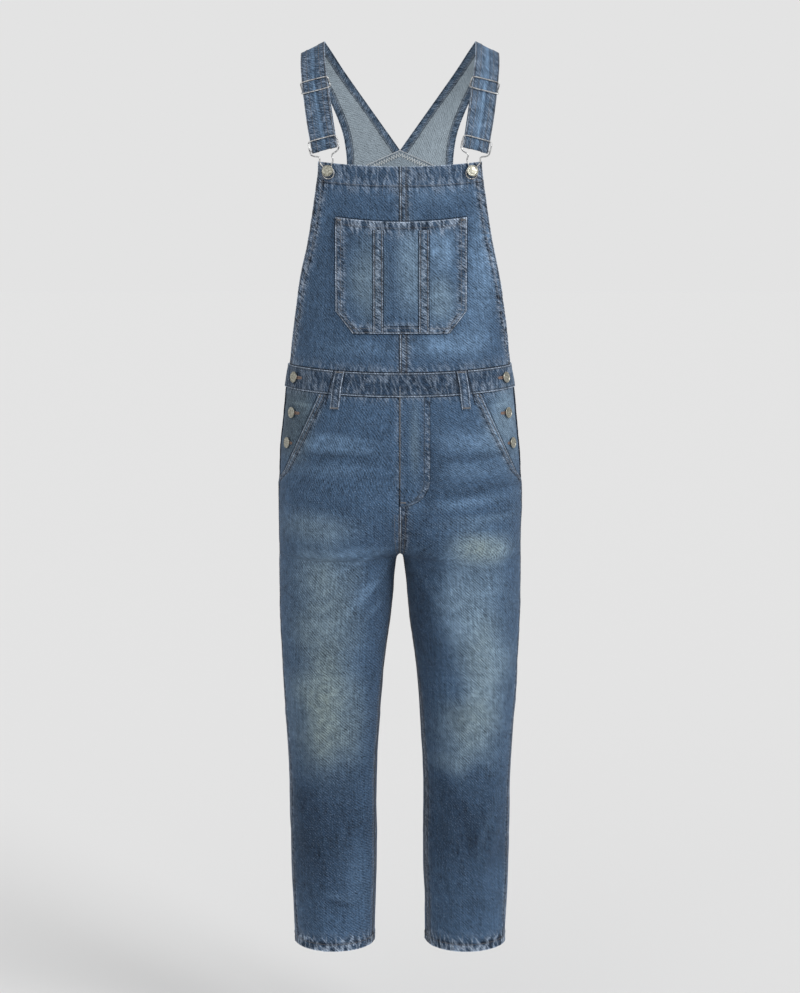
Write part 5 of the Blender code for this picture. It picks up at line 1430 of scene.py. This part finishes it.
def strap_path():
    """How far along each row of the whole strap lies, and its inner and outer edge."""
    table = np.array(STRAP)
    pairs = list(zip(through(table[:, :3], 12), through(table[:, 3:], 12)))

    def extend(middle, across):
        pairs.append((middle - across * STRAP_WIDE / 2, middle + across * STRAP_WIDE / 2))

    for a in np.linspace(0, np.pi, 13)[1:]:  # round the buckle's bar
        extend(BUCKLE_BAR + (LOW.out * np.cos(a) + LOW.down * np.sin(a)) * TURN, LOW.across)
    behind_low, behind_high = BUCKLE_BAR - LOW.out * TURN, HIGH_FRAME.centre - HIGH_FRAME.out * TURN * 2
    for t in np.linspace(0, 1, 9)[1:-2]:  # up behind the front layer
        extend(blend(behind_low, behind_high, t), unit(blend(LOW.across, HIGH_FRAME.across, t)))
    slider_bar = HIGH_FRAME.centre - HIGH_FRAME.out * TURN * 3
    for a in np.linspace(0, np.pi, 13):  # over the slider's middle bar
        way = HIGH_FRAME.out * np.cos(a) - HIGH_FRAME.down * np.sin(a)
        extend(slider_bar + way * TURN, HIGH_FRAME.across)
    for k in (1, 2):  # the sewn end
        extend(slider_bar - HIGH_FRAME.out * TURN + HIGH_FRAME.down * STRAP_END * k, HIGH_FRAME.across)
    inner, outer = (np.array([pair[k] for pair in pairs]) for k in (0, 1))
    steps = np.linalg.norm(np.diff((inner + outer) / 2, axis=0), axis=1)
    return np.concatenate([[0.0], np.cumsum(steps)]), inner, outer


STRAP_RUN, STRAP_INNER, STRAP_OUTER = strap_path()
print("a strap is", round(STRAP_RUN[-1] * 1000), "mm long")

# %% Strap cloth
STRAP_LIFT = 0.0002  # how far the faces lie inside the strap's full thickness, which its hems fill
NEAR_RUN = 0.0015  # a step along the strap that measures its direction
# The two fold numbers place a painted shade of a fold, which the strap's shape doesn't have.
STREAK_WIDE, SHADED_FOLD_WIDE, SHADED_FOLD_AT, SWAY = 0.065, 0.045, 0.12, 0.18
INSIDE_WASH = (0.32, 0.12, 0.0)


class StrapCloth(Cloth):
    """A strap: u runs across it, a quarter for each turned hem, and v is the length down its middle."""

    def base(self, u, v):
        u, v = np.broadcast_arrays(np.asarray(u, float), np.asarray(v, float))

        def edges(run):
            lines = STRAP_INNER, STRAP_OUTER
            return [np.stack([np.interp(run, STRAP_RUN, line[:, k]) for k in range(3)], -1) for line in lines]

        (inner, outer), ahead, behind = edges(v), edges(v + NEAR_RUN), edges(v - NEAR_RUN)
        normals = unit(np.cross(ahead[0] + ahead[1] - behind[0] - behind[1], outer - inner))
        hem_wide = STRAP_HEM / np.linalg.norm(outer - inner, axis=-1)
        near, far = u / HEM_SHARE * hem_wide, 1 - (1 - u) / HEM_SHARE * hem_wide
        middle = blend(hem_wide, 1 - hem_wide, (u - HEM_SHARE) / (1 - 2 * HEM_SHARE))
        share = np.where(u < HEM_SHARE, near, np.where(u > 1 - HEM_SHARE, far, middle))
        mirror = np.array([self.side, 1.0, 1.0])
        return blend(inner, outer, share[..., None]) * mirror, normals * mirror

    def inner_slots(self, u, v):
        return np.where(np.abs(u - 0.5) > 0.5 - HEM_SHARE, 0, 1)

    def washed(self, places, normals, corners, outside):
        """A pale streak down the middle, a painted shade of a fold beside it, and the right strap painted
        paler, as on the lit side.
        """
        u, v = corners.T
        off = u - 0.5 + SWAY / 4 * soft_noise(v / 0.035, u * 0, 73 + self.side)
        away = np.abs(u - 0.5) / HEM_SHARE
        streak = bell(off / STREAK_WIDE) * (0.75 + 0.25 * soft_noise(v / 0.03, u * 0, 71))
        # Painted shade of a fold beside the streak.
        fold = 0.75 + 0.25 * soft_noise(v / 0.025, u * 3, 72)
        fold = fold * bell((off - SHADED_FOLD_AT * self.side) / SHADED_FOLD_WIDE)
        dark = 0.20 * (away > 1) + 0.22 * bell((away - 0.75) / 0.25) + 0.85 * fold
        # 0.18 * side paints the right strap paler, as the side that the lamp falls on.
        shares = np.stack([0.24 + 0.18 * self.side + 0.55 * streak, 0.06 + 0 * streak, dark], -1)
        return blend(np.array(INSIDE_WASH), shares, outside[:, None])

    def outlined(self, places, corners, outside):
        """On the inside, how far places lie past the edge of a turned hem, where a shadow line is painted."""
        away = self.measure(*corners.T)
        return np.where(outside > 0, FAR / 1000, np.minimum(away["first"], away["last"]) - STRAP_HEM)

    def marks(self, u, v):
        """The inner row lies in a soft dip, so only the outer row gets a painted shade line."""
        seam, pucker = super().marks(u, v)
        away = self.measure(u, v)
        seam[..., 2] = 1000 * np.abs(np.minimum(away["first"], away["last"]) - STRAP_ROWS[0])
        return seam, pucker


HALF_ACROSS = [0, 0.028, 0.0625, 0.1125, 0.1625, 0.2, 0.224, 0.25, 0.272, 0.3, 0.34, 0.37, 0.4]
HALF_ACROSS += [0.42, 0.44, 0.46, 0.48]
strap_across = HALF_ACROSS + [0.5] + [1 - u for u in reversed(HALF_ACROSS)]
strap_grid = strap_across, even(0, STRAP_RUN[-1], STRAP_RUN[-1], 0.0021)
strap_options = dict(
    pattern=StrapCloth, under=1.0, top=STRAP_THICK / 2 - STRAP_LIFT, thick=STRAP_THICK - 2 * STRAP_LIFT
)
strap_finishes = both(191, band=STRAP_HEM, rise=0.0004, rope=0.00045, rows=STRAP_ROWS[:1], wear=0.55)
for side, word in SIDES:
    strap = cut("strap", word, None, strap_grid, strap_finishes, 0, side=side, **strap_options)
print("straps cut,", round(strap.area * 1e4), "square centimetres each")

# %% [markdown]
# ## Buckles, sliders and buttons
# The slider and the buckle are bent from wire with a welded bar across. A geometry tree turns a line into
# wire. Each button is a lathe shape: a rolled rim, a hollow face and a low dome. The bib button sits on a
# shank that the buckle's loop pulls upward, so its head leans. The faces are left plain.

# %% Wire
ButtonPlace = namedtuple("ButtonPlace", "name x z lift")
BIB_BUTTON = ButtonPlace("bib_button", 0.1055, -0.1965, 0.0)
SIDE_BUTTONS = [
    ButtonPlace("waist_button", 0.1600, -0.5070, WAISTBAND_PROUD),
    ButtonPlace("hip_button_upper", 0.1672, -0.5610, -DENIM - BEHIND_GAP),
    ButtonPlace("hip_button_lower", 0.1752, -0.6080, -DENIM - BEHIND_GAP),
]
WIRE_STEP, WIRE_SIDES, WIRE_FACING = 0.0008, 14, (0, 0, 1)
SLIDER_HALF, SLIDER_BEND = 0.0104, 0.0022
SIDE_CLEAR, FRONT_CLEAR = 0.0012, 0.0004  # between the strap and a wire
SIDE_WIRE = STRAP_WIDE / 2 + SIDE_CLEAR + WIRE  # from the strap's middle to a frame's side wire
SLIDER_FRONT, SLIDER_BACK, CLIP_FRONT = TURN + FRONT_CLEAR, -TURN * 3, TURN * 2 + FRONT_CLEAR
SLIDER_END = [  # across, along and out from the strap's middle: one side of the slider, down to its middle
    (0.0, -SLIDER_HALF, SLIDER_FRONT),
    (SIDE_WIRE - SLIDER_BEND, -SLIDER_HALF, SLIDER_FRONT),
    (SIDE_WIRE, -SLIDER_HALF + SLIDER_BEND, SLIDER_FRONT - 0.0012),
    (SIDE_WIRE, -SLIDER_BEND, SLIDER_BACK + 0.0008),
]
SLIDER_SIDE = SLIDER_END + [(across, -along, out) for across, along, out in reversed(SLIDER_END)]
CLIP_SIDE = [  # one side of the buckle, from its top wire past the strap's bar to the loop round the button
    (0, -0.0143, CLIP_FRONT), (0.019, -0.0143, CLIP_FRONT), (0.0213, -0.012, CLIP_FRONT - 0.0004),
    (0.0222, -0.006, 0.003), (0.0222, 0.001, 0), (0.0216, 0.0056, 0), (0.018, 0.0092, 0),
    (0.0125, 0.0108, 0), (0.0098, 0.0126, 0), (0.0093, 0.0152, 0), (0.0106, 0.0195, 0),
    (0.0096, 0.024, 0), (0.0066, 0.0282, 0), (0.0057, 0.0312, 0), (0.0073, 0.0345, 0),
    (0.0088, 0.0392, 0), (0.008, 0.0446, 0), (0.005, 0.0484, 0), (0, 0.0497, 0),
]
CLIP_BAR, CLIP_BELOW, CLIP_LOOP_ALONG, CLIP_CLEAR, CLIP_TWIST = 0.0215, 0.0023, 0.0408, 0.0007, 1.6
HARDWARE = {}


def geometry_tree(name, **sockets):
    """A geometry tree with named inputs."""
    tree = bpy.data.node_groups.new(name, "GeometryNodeTree")
    for way in ("OUTPUT", "INPUT"):
        tree.interface.new_socket("Geometry", in_out=way, socket_type="NodeSocketGeometry")
    for label, kind in sockets.items():
        tree.interface.new_socket(label, in_out="INPUT", socket_type=f"NodeSocket{kind}")
    return tree, add(tree, "NodeGroupInput").outputs


def ends_in(tree, geometry, material):
    """Closes a tree: real geometry, its material, smooth shading."""
    real = add(tree, "GeometryNodeRealizeInstances", {0: geometry})
    smooth = add(tree, "GeometryNodeSetShadeSmooth", {0: real})
    finish = add(tree, "GeometryNodeSetMaterial", {0: smooth, "Material": material})
    add(tree, "NodeGroupOutput", {0: finish})
    return tree


def resampled(tree, given, step):
    """The line as a curve, cut into even steps."""
    line = add(tree, "GeometryNodeMeshToCurve", {0: given["Geometry"]})
    return add(tree, "GeometryNodeResampleCurve", {"Curve": line, "Length": given[step]}, mode="LENGTH")


def round_wire(tree, curve, sides, radius):
    """A curve, as thick as a wire or a thread."""
    circle = add(tree, "GeometryNodeCurvePrimitiveCircle", {"Resolution": sides, "Radius": radius})
    return add(tree, "GeometryNodeCurveToMesh", {"Curve": curve, "Profile Curve": circle, "Fill Caps": True})


def wire_tree():
    """Turns lines into wire with capped ends."""
    tree, given = geometry_tree("bent wire", Radius="Float", Step="Float", Metal="Material")
    wire = round_wire(tree, resampled(tree, given, "Step"), WIRE_SIDES, given["Radius"])
    return ends_in(tree, wire, given["Metal"])


def grown(name, lines, tree, closed=(), **values):
    """An object that a tree grows from lines; the result is kept as a plain mesh.

    Each line is its points and the directions that its places face. closed names the ones that run round.
    """
    edges, start = [], 0
    for k, (points, facing) in enumerate(lines):
        count = len(points)
        edges += [(start + i, start + i + 1) for i in range(count - 1)]
        edges += [(start + count - 1, start)] if k in closed else []
        start += count
    mesh = bpy.data.meshes.new(f"{name}_lines")
    mesh.from_pydata(np.concatenate([line[0] for line in lines]).tolist(), edges, [])
    facing = np.concatenate([line[1] for line in lines])
    keep(mesh.attributes.new("facing", "FLOAT_VECTOR", "POINT"), "vector", facing)
    piece = show(bpy.data.objects.new(name, mesh))
    grower = piece.modifiers.new("grow", "NODES")
    grower.node_group = tree
    for socket in tree.interface.items_tree:
        if socket.in_out == "INPUT" and socket.name in values:
            grower[socket.identifier] = values[socket.name]
    depsgraph = bpy.context.evaluated_depsgraph_get()
    made = bpy.data.meshes.new_from_object(piece.evaluated_get(depsgraph))
    piece.modifiers.clear()
    piece.data = made
    bpy.data.meshes.remove(mesh)
    made.name = name
    return piece


bent_wire = wire_tree()


def bent(points, rounds=2):
    """Rounds the corners of a closed line, as a bender does."""
    for _ in range(rounds):
        ahead = np.roll(points, -1, axis=0)
        points = np.stack([points * 0.75 + ahead * 0.25, points * 0.25 + ahead * 0.75], 1).reshape(-1, 3)
    return points


def wire_frame(kind, word, rows, at, bar, side):
    """A closed wire, alike on both sides of its axis, with a bar across."""
    mirror = np.array([side, 1.0, 1.0])
    loop = np.array([at(1, *row) for row in rows] + [at(-1, *row) for row in reversed(rows[1:-1])])
    loop = bent(loop) * mirror
    cross_bar = np.array([at(-1, *bar), at(1, *bar)]) * mirror
    lines = [(line, line * 0 + WIRE_FACING) for line in (loop, cross_bar)]
    made = grown(f"{kind}_wire_{word}", lines, bent_wire, (0,), Radius=WIRE, Step=WIRE_STEP, Metal=wire_metal)
    HARDWARE[f"{kind}_{word}"] = made


def slider_place(sign, across, along, out):
    """A place on the slider."""
    f = HIGH_FRAME
    return f.centre + f.across * across * sign + f.down * along + f.out * out


bib_button_angle = angle_at(BIB_BUTTON.x, BIB_BUTTON.z)
button_base = skin(bib_button_angle, BIB_BUTTON.z, HEM_RISE)[0]
button_stands = outward(bib_button_angle, BIB_BUTTON.z)
clip_down = button_base + button_stands * (CLIP_CLEAR + WIRE) - np.array([0, 0, CLIP_BELOW]) - BUCKLE_BAR
bib_across = unit(np.cross(clip_down, button_stands))
bib_across = bib_across if bib_across[0] > 0 else -bib_across


def clip_place(sign, across, along, out):
    """A place on the buckle, which turns from the strap's directions to the bib's on its way down."""
    share = max(0.0, along / CLIP_LOOP_ALONG)
    down = clip_down * share if along > 0 else LOW.down * along
    turned = unit(blend(LOW.across, bib_across, min(1.0, share * CLIP_TWIST)))
    return BUCKLE_BAR + down + turned * across * sign + LOW.out * out


for side, word in SIDES:
    wire_frame("slider", word, SLIDER_SIDE, slider_place, (SIDE_WIRE, 0.0, SLIDER_BACK), side)
    wire_frame("clip", word, CLIP_SIDE, clip_place, (CLIP_BAR, 0.0, 0.0), side)
print("wires bent:", sorted(HARDWARE))

# %% Buttons
HEAD = [  # radius and height of the rim, the hollow and the dome, as shares of the head's radius
    (0.9, 0), (0.965, 0.03), (0.995, 0.075), (1, 0.115), (0.985, 0.16), (0.945, 0.192), (0.895, 0.198),
    (0.845, 0.185), (0.805, 0.155), (0.775, 0.135), (0.735, 0.13), (0.6, 0.142), (0.4, 0.156), (0.2, 0.163),
]
BIB_SHANK = [  # radius, height, and how much of the lean there is
    (0.005, 0, 0), (0.0053, 0.0006, 0), (0.0053, 0.0018, 0), (0.0048, 0.0024, 0),
    (0.0035, 0.0028, 0.1), (0.0033, 0.004, 0.5), (0.0034, 0.0056, 1),
]
SIDE_SHANK = [(0.0036, 0, 0), (0.0036, 0.0018, 0)]
BIB_HEAD, SIDE_HEAD, BIB_HEAD_HIGH, SIDE_HEAD_HIGH = 0.0087, 0.0085, 0.0057, 0.0018
BUTTON_LEAN, BUTTON_SEGMENTS, BUTTON_TIP = 12.0, 36, 0.00003
BIB_BUTTON_ROWS = BIB_SHANK + [(BIB_HEAD * r, BIB_HEAD_HIGH + BIB_HEAD * h, 1.0) for r, h in HEAD]
SIDE_BUTTON_ROWS = SIDE_SHANK + [(SIDE_HEAD * r, SIDE_HEAD_HIGH + SIDE_HEAD * h, 0.0) for r, h in HEAD]


def turned_button(node, rows, base, stands, side):
    """A button turned on a lathe, its axis leaning where the buckle pulls it."""
    mirror = np.array([side, 1.0, 1.0])
    stands, base = stands * mirror, base * mirror
    base = base + stands * SEAM_GAP
    level = unit(np.cross([0, 0, 1], stands))
    rise = np.cross(stands, level)
    around = np.linspace(0, 2 * np.pi, BUTTON_SEGMENTS, endpoint=False)[:, None]
    points = []
    for radius, height, share in rows:
        lean = math.radians(BUTTON_LEAN * share)
        axis = stands * math.cos(lean) + rise * math.sin(lean)
        up = np.cross(axis, level)
        points.append(base + axis * height + (level * np.cos(around) + up * np.sin(around)) * radius)
    places = np.concatenate(points + [[base, base + axis * (rows[-1][1] + BUTTON_TIP)]])
    n, faces = BUTTON_SEGMENTS, []
    pairs = [(k, (k + 1) % n) for k in range(n)]
    for j in range(0, (len(rows) - 1) * n, n):
        faces += [[j + k, j + m, j + n + m, j + n + k] for k, m in pairs]
    foot, tip, last = len(places) - 2, len(places) - 1, (len(rows) - 1) * n
    faces += [[m, k, foot] for k, m in pairs] + [[last + k, last + m, tip] for k, m in pairs]
    mesh = bpy.data.meshes.new(node)
    mesh.from_pydata(places.tolist(), [], faces)
    mesh.materials.append(nickel)
    mesh.shade_smooth()
    mesh.set_sharp_from_angle(angle=math.radians(50))
    HARDWARE[node] = show(bpy.data.objects.new(f"{node}_metal", mesh))


for side, word in SIDES:
    turned_button(f"bib_button_{word}", BIB_BUTTON_ROWS, button_base, button_stands, side)
    for place in SIDE_BUTTONS:
        angle = angle_at(place.x, place.z)
        base, stands = skin(angle, place.z, place.lift)[0], outward(angle, place.z)
        turned_button(f"{place.name}_{word}", SIDE_BUTTON_ROWS, base, stands, side)
print("buttons turned:", len(HARDWARE) - 4)

# %% [markdown]
# ## Sewing
# Dungarees are topstitched with a lockstitch: each stitch is a short arch of thick thread that dips into
# the cloth at both ends. One geometry tree sets stitches along any line: it cuts the line into even steps,
# turns a stitch along it and away from the cloth, and gives each a little unevenness. The same tree makes
# the overlocked edge, where the thread zigzags over a raw edge, and the bar tacks and buttonholes, where it
# lies side by side.

# %% The stitch tree
STITCH_INPUTS = ("Pitch", "Length", "Radius", "Turn", "Zigzag", "Uneven", "Arch", "Lift")
STITCH_SIDES, STITCH_STEPS = 5, 3
STITCH_FACES = STITCH_SIDES * STITCH_STEPS + 2
DIP, SIZE_VARIES = -0.8, 0.07


def stitch_tree():
    """Sets stitches along lines."""
    floats = dict.fromkeys(STITCH_INPUTS, "Float")
    tree, given = geometry_tree("stitch row", **floats, Seed="Int", Thread="Material")
    facing = add(tree, "GeometryNodeInputNamedAttribute", {"Name": "facing"}, data_type="FLOAT_VECTOR")
    facing = facing.outputs[0]
    lifted = {"Geometry": resampled(tree, given, "Pitch"), "Offset": scaled(tree, facing, given["Lift"])}
    tangent = add(tree, "GeometryNodeInputTangent")
    run = add(tree, "FunctionNodeAlignRotationToVector", {"Vector": tangent}, axis="X")
    stand = {"Rotation": run, "Vector": facing}
    stand = add(tree, "FunctionNodeAlignRotationToVector", stand, axis="Z", pivot_axis="X")
    index = Value(tree, add(tree, "GeometryNodeInputIndex").outputs[0])
    chance = add(tree, "FunctionNodeRandomValue", {2: -1.0, 3: 1.0, "Seed": given["Seed"]}, data_type="FLOAT")
    chance = Value(tree, chance.outputs[1])
    sign = index.calc("MODULO", 2.0) * 2.0 + -1.0
    lean = chance * given["Uneven"] + (sign * given["Zigzag"] + given["Turn"])
    turn = add(tree, "FunctionNodeEulerToRotation", {0: joined(tree, z=lean)})
    turned = add(tree, "FunctionNodeRotateRotation", {0: stand, 1: turn}, rotation_space="LOCAL")
    half, dip = Value(tree, given["Length"]) * 0.5, Value(tree, given["Radius"]) * DIP
    bow = {"Resolution": STITCH_STEPS, "Middle": joined(tree, z=given["Arch"])}
    bow.update(Start=joined(tree, half * -1.0, z=dip), End=joined(tree, half, z=dip))
    stitch = add(tree, "GeometryNodeCurveQuadraticBezier", bow)
    set_on = {
        "Points": add(tree, "GeometryNodeSetPosition", lifted),
        "Instance": round_wire(tree, stitch, STITCH_SIDES, given["Radius"]),
        "Rotation": turned,
        "Scale": joined(tree, chance * SIZE_VARIES + 1.0, 1.0, 1.0),
    }
    return ends_in(tree, add(tree, "GeometryNodeInstanceOnPoints", set_on), given["Thread"])


stitch_row = stitch_tree()
ACROSS = math.pi / 2  # turned across the line
LOCKSTITCH, OVERLOCK, SATIN = (
    dict(zip(STITCH_INPUTS, values))
    for values in (
        (0.0029, 0.0023, 0.00027, 0.0, 0.0, 0.07, 0.00065, 0.00006),
        (0.0021, 0.0070, 0.00044, ACROSS, 0.5, 0.05, 0.0007, 0.0002),
        (0.00052, 0.0021, 0.00029, ACROSS, 0.0, 0.10, 0.00075, 0.00018),
    )
)
print("stitch tree:", len(stitch_row.nodes), "nodes")

# %% Lines on the cloth


def on_cloth(cloth, u, v, inner=False):
    """Places on the cloth, and the directions that they face."""
    points, normals = cloth.surface(u, v, inner=inner)
    return points, -normals if inner else normals


def line_along(cloth, edge, away, start=0.0, end=0.0, inner=False):
    """A line on the cloth at a distance from one of its edges, cut short at both ends."""
    upright = edge in ("first", "last")
    table, lines = (cloth.across, cloth.columns) if upright else (cloth.down.T, cloth.rows)
    want = table[:, -1] * 0 + away if edge in ("first", "top") else table[:, -1] - away
    crossing = np.array([np.interp(w, row, lines) for w, row in zip(want, table)])
    u, v = (crossing, cloth.rows) if upright else (cloth.columns, crossing)
    before, after = ("top", "bottom") if upright else ("first", "last")
    fine = np.linspace(0, len(u) - 1, (len(u) - 1) * 4 + 1)
    u, v = (np.interp(fine, np.arange(len(x)), x) for x in (u, v))
    ends = cloth.measure(u, v)
    kept = (ends[before] >= start) & (ends[after] >= end)
    return on_cloth(cloth, u[kept], v[kept], inner)


def across_cloth(cloth, u0, v0, u1, v1):
    """A short straight line between two places of the chart."""
    t = np.linspace(0, 1, 9)
    return on_cloth(cloth, blend(u0, u1, t), blend(v0, v1, t))


SeamRow = namedtuple("SeamRow", "kind edges away start end", defaults=(0.001, 0.001))
SEAM_ROWS = {  # pieces, edges, how far in the line lies, and how far short of its two ends it stops
    "stitches_bib": [
        ("bib", "last", (0.0018, 0.0093)),
        ("bib", "top", (BIB_HEM_DEPTH - ROW_IN,)),
        ("bib_right", "first", (0.0018, 0.0088)),
        ("bib_pocket", "first", (0.0018,), 0.001, 0.0015),
        ("bib_pocket", "first", (0.0082,), 0.001, 0.008),
        ("bib_pocket", "last", (0.0018,), 0.001, 0.0015),
        ("bib_pocket", "last", (0.0082,), 0.001, 0.008),
        ("bib_pocket", "bottom", (0.0018,), 0.0015, 0.0015),
        ("bib_pocket", "bottom", (0.0082,), 0.006, 0.006),
        ("bib_pocket", "top", (0.0092,), 0.0015, 0.0015),
        ("pocket_divider", "first last", (0.0017,), 0.0005, 0.0005),
    ],
    "stitches_back": [
        ("back_panel", "first last", (0.0018, 0.0093)),
        ("back_panel", "top", (0.0020, 0.0083)),
    ],
    "stitches_waist": [
        ("waistband_front", "top bottom", (0.0021,), 0.0005, 0.002),
        ("waistband_front", "last", (0.0024,), 0.002, 0.002),
        ("waistband_back", "top bottom", (0.0021,), 0.0005, 0.0005),
        ("belt_loop", "first last", (0.0021,)),
    ],
    "stitches_fly": [
        ("fly", "last", (0.0020,), 0.0005, 0.0005),
        ("fly", "last", (0.0092,), 0.0005, 0.007),
    ],
    "stitches_front_legs": [
        ("front_leg", "last", (0.0019, 0.0086), 0.0005, 0.0005),
        ("front_leg", "first", (0.0019, 0.0082), 0.18, 0.0005),
        ("front_leg", "bottom", (HEM_DEPTH - 0.0014,)),
        ("pocket_bearer", "last", (0.0018,), 0.001, 0.03),
    ],
    "stitches_back_legs": [
        ("back_leg", "last", (0.0019, 0.0082), 0.0005, 0.0005),
        ("back_leg", "first", (0.0019,), 0.0005, 0.15),
        ("back_leg", "bottom", (HEM_DEPTH - 0.0014,)),
    ],
    "stitches_straps": [("strap", "first last", (away,)) for away in STRAP_ROWS],
}


def lines_of(row):
    """Every line that a row of the table stands for."""
    cloths = [cloth for node, cloth in CLOTHS.items() if row.kind in (node, cloth.kind)]
    places = [(edge, away) for edge in row.edges.split() for away in row.away]
    return [line_along(cloth, edge, away, row.start, row.end) for edge, away in places for cloth in cloths]


SEWN = {}


def sew(name, lines, kind, thread, seed, closed=()):
    """Sews one kind of stitch along lines."""
    SEWN[name] = grown(name, lines, stitch_row, closed, Seed=seed, Thread=thread, **kind)
    print(name, len(lines), "lines,", len(SEWN[name].data.polygons) // STITCH_FACES, "stitches")


TONAL = ("stitches_fly", "stitches_waist")  # sewn in the blue of the cloth
for seed, (name, rows) in enumerate(SEAM_ROWS.items()):
    lines = [line for row in rows for line in lines_of(SeamRow(*row))]
    sew(name, lines, LOCKSTITCH, tonal_thread if name in TONAL else tobacco_thread, seed)

# %% Overlock, bar tacks and buttonholes
inside = [line_along(back_panel, "top", 0.0066, 0.004, 0.004, inner=True)]
sew("overlock", inside, OVERLOCK, pale_thread, 11)
inside = [
    line_along(CLOTHS[f"strap_{word}"], edge, STRAP_ROWS[1], 0.001, 0.001, inner=True)
    for _, word in SIDES
    for edge in ("first", "last")
]
sew("stitches_strap_backs", inside, LOCKSTITCH, tobacco_thread, 12)

LOOP_TACKS = ((0.06, 0.035, 0.94, 0.035), (0.06, 0.965, 0.94, 0.965))  # places on the charts
POCKET_TACKS = ((0.01, 0.018, 0.045, 0.018), (0.955, 0.018, 0.99, 0.018))
SLANT_TACK, FLY_TACK = (0.962, 0.03, 0.996, 0.03), (0.04, 0.965, 0.35, 0.965)
tacks = [across_cloth(CLOTHS[f"belt_loop_{loop.name}"], *tack) for loop in LOOPS for tack in LOOP_TACKS]
tacks += [across_cloth(CLOTHS[f"front_leg_{word}"], *SLANT_TACK) for _, word in SIDES]
tacks += [across_cloth(pocket, *tack) for tack in POCKET_TACKS] + [across_cloth(fly, *FLY_TACK)]
sew("bar_tacks", tacks, SATIN, tobacco_thread, 13)

HOLE_LONG, HOLE_WIDE = 0.0088, 0.0012  # half sizes of a buttonhole
HOLE_LIFT = 0.0002
HOLE_SHIFTS = (-0.0072, -0.0072, -0.0030)  # from each side button's middle toward the centre front


def buttonhole(at, toward):
    """The angles and heights of an oval of side-by-side stitches round a slit."""
    turn = np.linspace(0, 2 * np.pi, 60, endpoint=False)
    x, y = HOLE_LONG * np.cos(turn), HOLE_WIDE * np.sign(np.sin(turn)) * np.abs(np.sin(turn)) ** 0.5
    angle = angle_at(at.x, at.z)
    return angle + degrees_of(1.0, angle, at.z) * (x + toward), at.z + y


holes = []
for side, word in SIDES:
    for place, shift in zip(SIDE_BUTTONS, HOLE_SHIFTS):
        under = "waistband_front" if place.name == "waist_button" else "pocket_bearer"
        holes.append(skin(*buttonhole(place, shift), CLOTHS[f"{under}_{word}"].top + HOLE_LIFT, side))
sew("buttonholes", holes, SATIN, rust_thread, 14, range(len(holes)))

# %% [markdown]
# ## Which piece rides on what
# Every piece moves with the garment's one body. Each cloth piece and each piece of metal stands for one
# CAD solid, and that plain solid is hidden.

# %% Riding
for node, cloth in CLOTHS.items():
    piece = cloth.piece
    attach(piece, "root")
    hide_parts(node)
for node, piece in HARDWARE.items():
    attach(piece, "root")
    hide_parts(node)
for piece in SEWN.values():
    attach(piece, "root")
